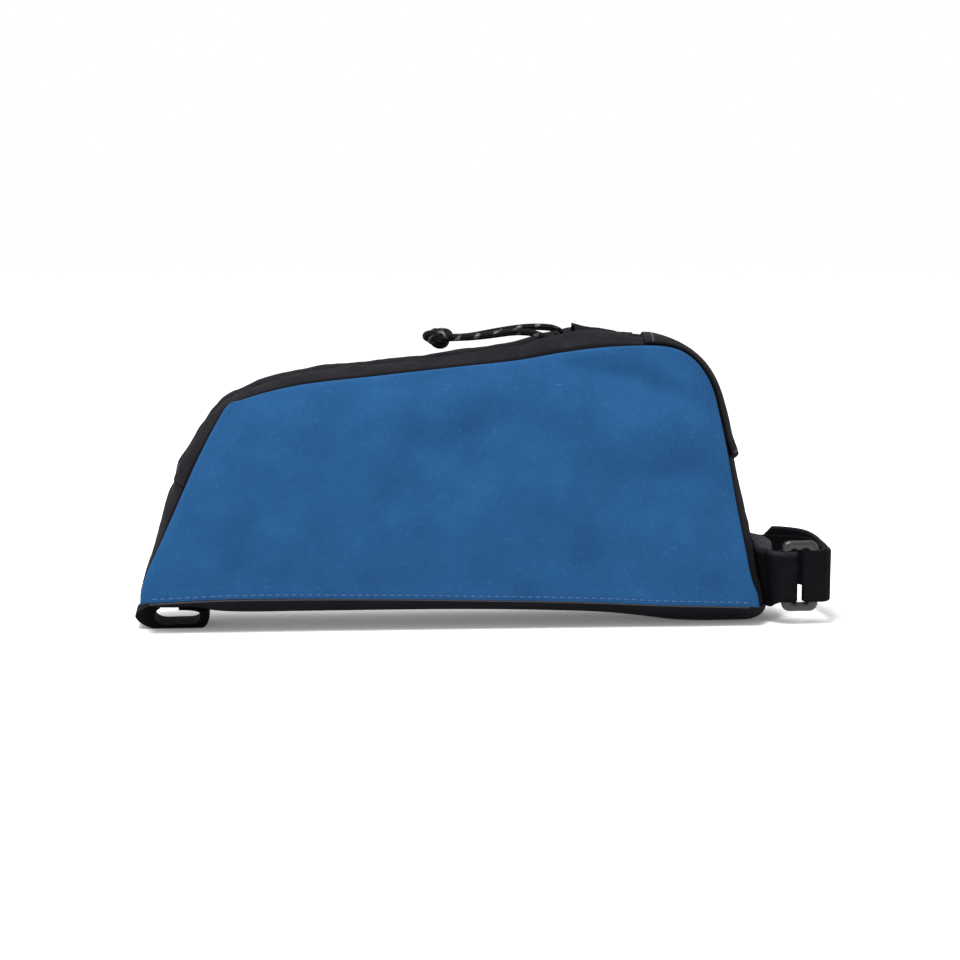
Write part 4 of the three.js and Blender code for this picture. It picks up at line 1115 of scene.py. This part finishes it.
zipCloth = wovenMaterial("zipCloth", looks["zipCloth"])
teethMaterial = mouldedMaterial("zipTeeth", linear(18, 18, 20), 0.42)
mouldedBlack = mouldedMaterial("mouldedBlack", linear(22, 22, 24), 0.3)
makeTape()
makeTeeth()
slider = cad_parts["zip_slider"]
slider.data.materials.clear()
slider.data.materials.append(mouldedBlack)
print("zip made")


# Hood over the zip's front end
hoodLook = {
    "half": 6.8 * mm, "rise": 8.1 * mm, "wall": 0.9 * mm, "taper": 0.28, "fall": 1.75, "crumple": 0.2 * mm,
    "crease": 0.35 * mm, "creaseLength": 9 * mm,
}


def makeHood():
    # an arch across the zip from one edge of its trough to the other: its rise is one less the squared
    # distance, and falls towards the front by a power of what is left of its length
    gone = tight(120, 0.5)
    share = (hoodMouth + (hoodEnd - hoodMouth) * gone)[:, None]
    half = (hoodLook["half"] * (1 - hoodLook["taper"] * gone))[:, None]
    s = (2 * tight(70, 0.6) - 1)[None, :]
    across = s * half
    rise = hoodLook["rise"] * (1 - gone[:, None]) ** hoodLook["fall"]
    fine = softCrumple(share, across, hoodLook["crumple"], 17) * (1 - s ** 8)
    along = (share - hoodMouth) * seamLength
    ended = smoothStep((along - hoodLook["creaseLength"]) / (8 * mm))
    crease = hoodLook["crease"] * np.exp(-((s + 0.62) / 0.12) ** 2) * (1 - ended)
    lift = bag["clearance"] + rise * (1 - s ** 2) + fine + crease
    thin = 1 - 0.7 * smoothStep((np.abs(s) - 0.75) / 0.25)
    outer = onStrip(share, across, lift + hoodLook["wall"] * thin - rollIn(along, 0.5 * mm))
    inner = onStrip(share, across, lift - 0.15 * mm)
    clothWall("zipGarage", outer, inner, darkCloth, ("zip_garage",))


makeHood()


# Base
baseLook = {"keelPower": 3, "keelFlat": 1.06, "wall": 2.0 * mm, "rows": 240, "across": 60}


def makeBase():
    # from the seams down to the keel: the keel's share is one less the cubed distance from the middle
    t = evenRun(np.stack([baseT, baseT], axis=1), baseLook["rows"])[:, 0]
    edge = smoothCurve(rowPlace(baseRows[:, 0], baseRows[:, 1]), t)
    keel = np.stack([footX + baseRows[:, 2] * bag["sideLength"], baseRows[:, 3] * bag["baseDepth"]], axis=1)
    keel = smoothCurve(keel, t)
    keel[:, 1] = np.maximum(keel[:, 1], 0)
    way = unit(np.gradient(keel, axis=0))
    v = np.sin(np.linspace(-np.pi / 2, np.pi / 2, baseLook["across"]))
    share = np.minimum(baseLook["keelFlat"] * (1 - np.abs(v) ** baseLook["keelPower"]), 1)[None, :, None]
    low = edge[:, None] * (1 - share) + keel[:, None] * share
    inward = np.stack([-way[:, 1], way[:, 0]], axis=1)[:, None]
    y = np.broadcast_to(v * stripHalf, low.shape[:2])
    curl = rollIn((1 - np.abs(v)) * stripHalf, 0.8 * mm)[None, :, None]
    outer = low + inward * curl
    inner = low + inward * baseLook["wall"]
    grid = lambda p: np.stack([p[..., 0], y, p[..., 1]], axis=-1)
    clothWall("basePanel", grid(outer), grid(inner), baseCloth, ("base_panel",))


baseCloth = wovenMaterial("baseCloth", looks["baseCloth"])
makeBase()
print("base made")


# Straps: flat bands that stand on edge. A station is x, y, the height of the lower and upper edge, and how
# far the upper edge leans back. The rows hold shares of the loop's reach and half spread, and of the width.
webbing = {
    "width": 19 * mm, "thick": 1.4 * mm, "low": 8.5 * mm, "reach": 25 * mm, "loopHalf": 24 * mm,
    "freeEndRise": 3.23 * mm, "tipChamfer": 5.6 * mm, "ripple": 0.15 * mm,
}
anchor = {
    "half": 12.5 * mm, "wall": 1.3 * mm, "swell": 4.6 * mm, "slant": 5 * mm, "rootRise": 1 * mm,
    "capRise": 1.0 * mm, "ribPitch": 0.95 * mm, "ribHeight": 0.34 * mm, "drop": 1.4 * mm,
    "rootHang": 3.4 * mm,    # the straps' lower edges hang by this much at their roots
}
ring = {
    "width": 13.8 * mm, "bar": 4.2 * mm, "endBar": 3.4 * mm, "thick": 2.8 * mm, "corner": 3.2 * mm,
    "slotCorner": 0.9 * mm, "slotGap": 0.35 * mm, "fromFoot": 16.7 * mm, "across": -20 * mm, "lift": 0.1 * mm,
    "tabTail": 1.6 * mm,
}
strapRows = np.array([
    (0.15, 0.85, 0.13, 0.05), (0.33, 0.975, 0.05, 0.03), (0.56, 1.01, 0, 0.01), (0.8, 0.99, 0, 0),
    (1, 0.88, -0.03, 0), (1.095, 0.64, -0.03, 0), (1.11, 0.24, -0.03, 0), (1.11, -0.2, -0.03, 0),
    (1.085, -0.51, -0.03, 0), (0.99, -0.69, 0, 0),
])
tabRows = np.array([(0.228, -0.655, 0.12, 0.040), (0.262, -0.790, 0.08, 0.030), (0.335, -0.893, 0.03, 0.010)])
strapRoots, tabRoots = (0.24, 0.64, 1.0, 1.32), (-0.08, -0.42, -0.74, -1.02)
ringX = frontX + ring["fromFoot"]
wrapX = ring["bar"] / 2 + 1.3 * bag["clearance"] + webbing["thick"] / 2
wrapY = ring["thick"] / 2 + bag["clearance"] + webbing["thick"] / 2
level = (webbing["low"], webbing["low"] + webbing["width"], 0.0)


def rowStation(row):
    out, across, lean, rise = row
    low = webbing["low"] + rise * webbing["width"]
    return (frontX + out * webbing["reach"], across * webbing["loopHalf"], low, low + webbing["width"],
            lean * webbing["width"])


def rootStation(share):
    across = share * anchor["half"]
    low = webbing["low"] + anchor["rootRise"]
    high = low + webbing["width"]
    lift = 1.5 * bag["clearance"] + webbing["thick"] / 2
    x = [float(onStrip(shareOnFront(h - anchor["rootRise"]), across, lift)[..., 0]) for h in (low, high)]
    return ((x[0] + x[1]) / 2, across, low, high, x[0] - x[1])


def refined(stations, count):
    stations = np.array(stations)
    t = np.linspace(0, 1, count + 1)
    plan = smoothCurve(stations[:, [0, 1, 4]], t)
    edges = smoothCurve(stations[:, [2, 3]], t, even=True)
    return np.column_stack([plan[:, 0], plan[:, 1], edges[:, 0], edges[:, 1], plan[:, 2]])


def roundBar(side):
    barX = ringX + side * (ring["width"] - ring["bar"]) / 2
    angle = np.linspace(-np.pi / 2, np.pi / 2, 9)[1:-1]
    squared = lambda value: np.sign(value) * np.abs(value) ** 0.6
    x = barX - side * wrapX * squared(np.cos(angle))
    y = ring["across"] - wrapY * squared(np.sin(angle))
    return np.column_stack([x, y, np.tile(level, (len(angle), 1))])


def besideRing(side, face):
    return (ringX + side * (ring["width"] / 2 - 0.6 * mm), ring["across"] + face * wrapY, *level)


def strapStations():
    # out round the far side to the ring, round its outer bar, and back outside itself
    stations = [rootStation(s) for s in strapRoots] + [rowStation(r) for r in strapRows]
    out = refined(stations + [besideRing(1, 1)], 34)
    out[:, 2] -= anchor["rootHang"] * smoothStep((0.34 - np.linspace(0, 1, len(out))) / 0.2)
    way = unit(np.gradient(out[:, :2], axis=0))[::-1]
    count = 20
    back = out[::-1][:count]
    i = np.arange(count)
    offset = 2 * wrapY + bag["clearance"] + (webbing["thick"] - 2 * wrapY) * smoothStep(i / 6)
    gone = i / (count - 1)
    rise = webbing["freeEndRise"] * smoothStep((4 * gone - 1) / 3)
    back = np.column_stack([back[:, 0] - way[:count, 1] * offset, back[:, 1] + way[:count, 0] * offset,
                            back[:, 2] + rise, back[:, 3] + rise, back[:, 4]])
    return np.vstack([out, roundBar(1), back])


def tabStations():
    # from the near root to the ring, round its inner bar, and a short end behind it
    stations = [rootStation(s) for s in tabRoots] + [rowStation(r) for r in tabRows]
    near = refined(stations + [besideRing(-1, -1)], 18)
    near[:, 2] -= anchor["rootHang"] * smoothStep((0.95 - np.linspace(0, 1, len(near))) / 0.45)
    start = np.array(besideRing(-1, 1))
    tail = ring["tabTail"]
    ends = [start, start - (0.4 * tail, 0, 0, 0, 0), start - (tail, 0.15 * tail, 0, 0, 0)]
    return np.vstack([near, roundBar(-1)[::-1], refined(ends, 5)])


def bandSections(stations, count, chamfer, seed):
    # a rounded oblong profile carried along the stations: h goes up the band's height, n out of its face, and
    # the chamfer narrows the height over the last few millimetres. The ripple is a product of two sines.
    thick = webbing["thick"]
    plan = smoothCurve(stations[:, :2], np.linspace(0, 1, 3000))
    heights = smoothCurve(stations[:, 2:], np.linspace(0, 1, 3000), even=True)
    run = runLength(plan)
    at = np.linspace(0, run[-1] + chamfer, count)
    pick = lambda values: np.stack([np.interp(at, run, values[:, k]) for k in range(values.shape[1])], axis=1)
    place, edge = pick(plan), pick(heights)
    beyond = np.maximum(at - run[-1], 0)[:, None]
    way = unit(np.gradient(plan, axis=0))
    place = place + beyond * way[-1]
    normal = np.stack([-pick(way)[:, 1], pick(way)[:, 0]], axis=1)
    edge[:, 0:1] += beyond
    edge[:, 1:2] -= beyond
    wave = webbing["ripple"] * np.sin(at / (6.1 * mm) + seed) * np.sin(at / (14 * mm) + 2 * seed)
    edge[:, 1] += wave
    edge[:, 0] += 0.6 * wave
    tall = edge[:, 1] - edge[:, 0]
    corner = np.linspace(0, np.pi / 2, 5)
    r = thick / 2
    quarter = np.stack([r * np.cos(corner), r * np.sin(corner)], axis=1)
    level = np.linspace(1, -1, 26)[1:-1]
    # half of the profile from the top edge down one face to the lower edge, then the other face back
    faceN = np.concatenate([quarter[::-1, 0], np.full(len(level), r), quarter[:, 0]])
    faceH = np.concatenate([quarter[::-1, 1] - r, np.zeros(len(level)), r - quarter[:, 1]])
    faceS = np.concatenate([np.ones(len(corner)), level, -np.ones(len(corner))])
    profileN = np.concatenate([faceN, -faceN[::-1][1:-1]])
    profileH = np.concatenate([faceH, faceH[::-1][1:-1]])
    profileS = np.concatenate([faceS, faceS[::-1][1:-1]])
    h = edge[:, 0:1] + (profileS[None, :] + 1) / 2 * tall[:, None] + profileH[None, :]
    part = (h - edge[:, 0:1]) / np.maximum(tall[:, None], 1e-6)
    x = place[:, 0:1] + edge[:, 2:3] * (0.5 - part) + normal[:, 0:1] * profileN[None, :]
    y = place[:, 1:2] + normal[:, 1:2] * profileN[None, :]
    return np.stack([x, y, h], axis=-1)


hookLoop = wovenMaterial("hookLoop", looks["hookLoop"])
ribbed = webbingMaterial("webbing", (linear(4, 4, 5), linear(10, 10, 12), linear(24, 24, 27)))
# a lighter copy of the same webbing for the anchor: painted light, where the anchor's top faces the light
# from above
ribbedPaintedLight = webbingMaterial("ribbedWebbingPaintedLight", (linear(26, 26, 28), linear(50, 50, 53), linear(84, 84, 88)))
headStrap = bandSections(strapStations(), 340, webbing["tipChamfer"], 2)
closedRing("headStrap", headStrap, hookLoop, ("head_strap",))
closedRing("ringTab", bandSections(tabStations(), 170, 0, 5), hookLoop, ("ring_tab",))


def makeAnchor():
    # ribbed webbing over the straps' roots. Down the wall its lift is the gap, the straps, its own thickness
    # and a swell of one less the squared distance from the middle. Its top rolls in over a quarter round.
    across = (anchor["half"] * (2 * tight(80, 0.4) - 1))[None, :]
    start = anchorTop + anchor["slant"] / seamLength * (anchor["half"] - across) / (2 * anchor["half"])
    wall = (3 * bag["clearance"] + webbing["thick"] + anchor["wall"]
            + anchor["swell"] * (1 - (across / anchor["half"]) ** 2))
    startHeight = onStrip(start, across)[..., 2]
    tuck = 2.1 * mm - 1.8 * mm * smoothStep((startHeight - 28.4 * mm) / (1.2 * mm))
    angle = np.linspace(0, np.pi / 2, 70)[:, None]
    topDown = -anchor["capRise"] * np.cos(angle) + 0 * across
    topLift = tuck + (wall - tuck) * np.sin(angle) ** 1.15
    down = np.linspace(0, 1, 170)[1:, None]
    length = (1 - seamGap - start) * seamLength
    along = np.concatenate([topDown, down * length])
    lift = np.concatenate([topLift, wall + 0 * down])
    run = np.concatenate([np.zeros((1, along.shape[1])),
                          np.cumsum(np.hypot(np.diff(along, axis=0), np.diff(lift, axis=0)), axis=0)])
    share = start + along / seamLength
    ribs = anchor["ribHeight"] * (np.abs(np.sin(np.pi * run / anchor["ribPitch"])) - 0.64)
    sides = rollIn(anchor["half"] - np.abs(across), 0.7 * mm)
    turned = np.concatenate([np.sin(angle), 1 + 0 * down])
    outer = onStrip(share - (1 - turned) * ribs / seamLength, across, lift + turned * ribs - sides)
    thin = anchor["wall"] * 0.9
    inner = onStrip(share + (1 - turned) * thin / seamLength, across, lift - turned * thin - sides * 0.2)
    lower = np.concatenate([0 * topDown, 0 * across + down ** 2]) * anchor["drop"]
    outer[..., 2] -= lower
    inner[..., 2] -= lower
    clothWall("strapAnchor", outer, inner, ribbedPaintedLight, ("strap_anchor",))


makeAnchor()


# The ring: an outer and an inner rounded outline, and an oval bar between them
def roundedOutline(halfX, halfZ, corner, count):
    quarter = np.linspace(0, np.pi / 2, count)
    parts = []
    for k, (sx, sz) in enumerate(((1, -1), (1, 1), (-1, 1), (-1, -1))):
        angle = quarter + (k - 1) * np.pi / 2
        parts.append(np.stack([sx * (halfX - corner) + corner * np.cos(angle),
                               sz * (halfZ - corner) + corner * np.sin(angle)], axis=1))
    return np.concatenate(parts)


def makeRing():
    slotHalf = webbing["width"] / 2 + ring["slotGap"]
    outside = roundedOutline(ring["width"] / 2, slotHalf + ring["endBar"], ring["corner"], 14)
    inside = roundedOutline(ring["width"] / 2 - ring["bar"], slotHalf, ring["slotCorner"], 14)
    angle = np.linspace(0, 2 * np.pi, 28, endpoint=False)
    squared = lambda value: np.sign(value) * np.abs(value) ** 0.92
    share = (1 + squared(np.cos(angle))) / 2
    face = outside[:, None] * share[None, :, None] + inside[:, None] * (1 - share)[None, :, None]
    y = ring["across"] + ring["thick"] / 2 * squared(np.sin(angle))
    middleZ = webbing["low"] + webbing["width"] / 2 + ring["lift"]
    points = np.stack([ringX + face[..., 0], y + 0 * face[..., 0], middleZ + face[..., 1]], axis=-1)
    closedRing("strapRing", points, mouldedBlack, ("strap_ring",), wrapRows=True)


makeRing()

# Tail loop
tailLoop = {"length": 27.3 * mm, "height": 9.6 * mm, "half": 10 * mm, "reach": 2.4 * mm}
tailLoopRows = np.array([
    (0.585, 0.765, 0.585, 0.7), (0.75, 0.76, 0.745, 0.68), (0.88, 0.725, 0.838, 0.63),
    (0.96, 0.64, 0.868, 0.575), (1, 0.54, 0.872, 0.5), (0.988, 0.28, 0.868, 0.38),
    (0.946, 0.07, 0.846, 0.23), (0.89, 0, 0.79, 0.16), (0.59, 0, 0.59, 0.145), (0.33, 0, 0.38, 0.15),
    (0.22, 0.015, 0.3, 0.23), (0.13, 0.125, 0.264, 0.34), (0.045, 0.29, 0.258, 0.44),
    (0, 0.48, 0.264, 0.55), (0.03, 0.66, 0.284, 0.65), (0.1, 0.77, 0.31, 0.735),
    (0.19, 0.86, 0.335, 0.77),
])


def makeTailLoop():
    # between the loop's outside and inside lines, with a rounded oblong profile across its width
    size = np.array([tailLoop["length"], tailLoop["height"]])
    start = np.array([footX - tailLoop["reach"], 0])
    t = np.linspace(0, 1, 180)
    outside = start + smoothCurve(tailLoopRows[:, :2], t) * size
    inside = start + smoothCurve(tailLoopRows[:, 2:], t) * size
    outside[:, 1] = np.maximum(outside[:, 1], 0)
    corner = np.linspace(0, np.pi / 2, 5)
    half, r = tailLoop["half"], 0.55 * mm
    level = np.linspace(-half + r, half - r, 26)[1:-1]
    across = np.concatenate([-half + r - r * np.cos(corner), level, half - r + r * np.cos(corner[::-1])])
    shareOut = np.concatenate([np.sin(corner), np.ones(len(level)), np.sin(corner[::-1])])
    thick = np.linalg.norm(outside - inside, axis=1)
    middle = (outside + inside) / 2
    way = unit(outside - inside)
    bulge = thick[:, None] / 2 - r * (1 - shareOut)[None, :] * np.minimum(1, thick[:, None] / (2 * r))
    top = middle[:, None] + way[:, None] * bulge[..., None]
    low = middle[:, None] - way[:, None] * bulge[..., None]
    grid = np.concatenate([top, low[:, ::-1][:, 1:-1]], axis=1)
    y = np.concatenate([across, across[::-1][1:-1]])
    points = np.stack([grid[..., 0], y + 0 * grid[..., 0], np.maximum(grid[..., 1], 0)], axis=-1)
    closedRing("tailLoop", points, ribbed, ("tail_loop",))


makeTailLoop()
print("straps and loop made")


# Floor and light
stageLook = {
    "floorHalf": 60.0,
    "floorGlow": 0.12,
    "sky": 1.0,
    "overhead": {"place": (-0.3, -0.45, 1.2), "size": (0.7, 0.5), "power": 24},
}


def makeStage():
    # a lit white table: it glows a little by itself, so the shadow on it stays soft
    material, tree, shader = newMaterial("paleFloor", 0.95, Specular_IOR_Level=0.0)
    shader.inputs["Emission Color"].default_value = (1, 1, 1, 1)
    shader.inputs["Emission Strength"].default_value = stageLook["floorGlow"]
    place = ownPlace(tree)
    grain = noise(tree, place, 30, 3.0)
    shades = ramp(tree, grain, [(0.3, (0.85, 0.85, 0.852)), (0.7, (0.88, 0.88, 0.882))])
    tree.links.new(shades, shader.inputs["Base Color"])
    size = stageLook["floorHalf"]
    corners = np.array([(-size, -size, 0), (size, -size, 0), (size, size, 0), (-size, size, 0)])
    floor = meshObject("floor", corners - (0, 0, 0.2 * mm), [[0, 1, 2, 3]], material=material)


def areaLight(name, values, aim):
    data = bpy.data.lights.new(name, "AREA")
    data.shape = "RECTANGLE"
    data.size, data.size_y = values["size"]
    data.energy = values["power"]
    lamp = bpy.data.objects.new(name, data)
    lamp.location = values["place"]
    lamp.rotation_euler = (Vector(aim) - Vector(values["place"])).to_track_quat("-Z", "Y").to_euler()
    collection.objects.link(lamp)


makeStage()
areaLight("overhead", stageLook["overhead"], (0, 0, 0.03))
world = bpy.data.worlds.new("studio")
world.use_nodes = True
world.node_tree.nodes["Background"].inputs["Color"].default_value = (1, 1, 1, 1)
world.node_tree.nodes["Background"].inputs["Strength"].default_value = stageLook["sky"]
bpy.context.scene.world = world
bpy.context.scene.view_settings.view_transform = "Standard"
print("stage made")
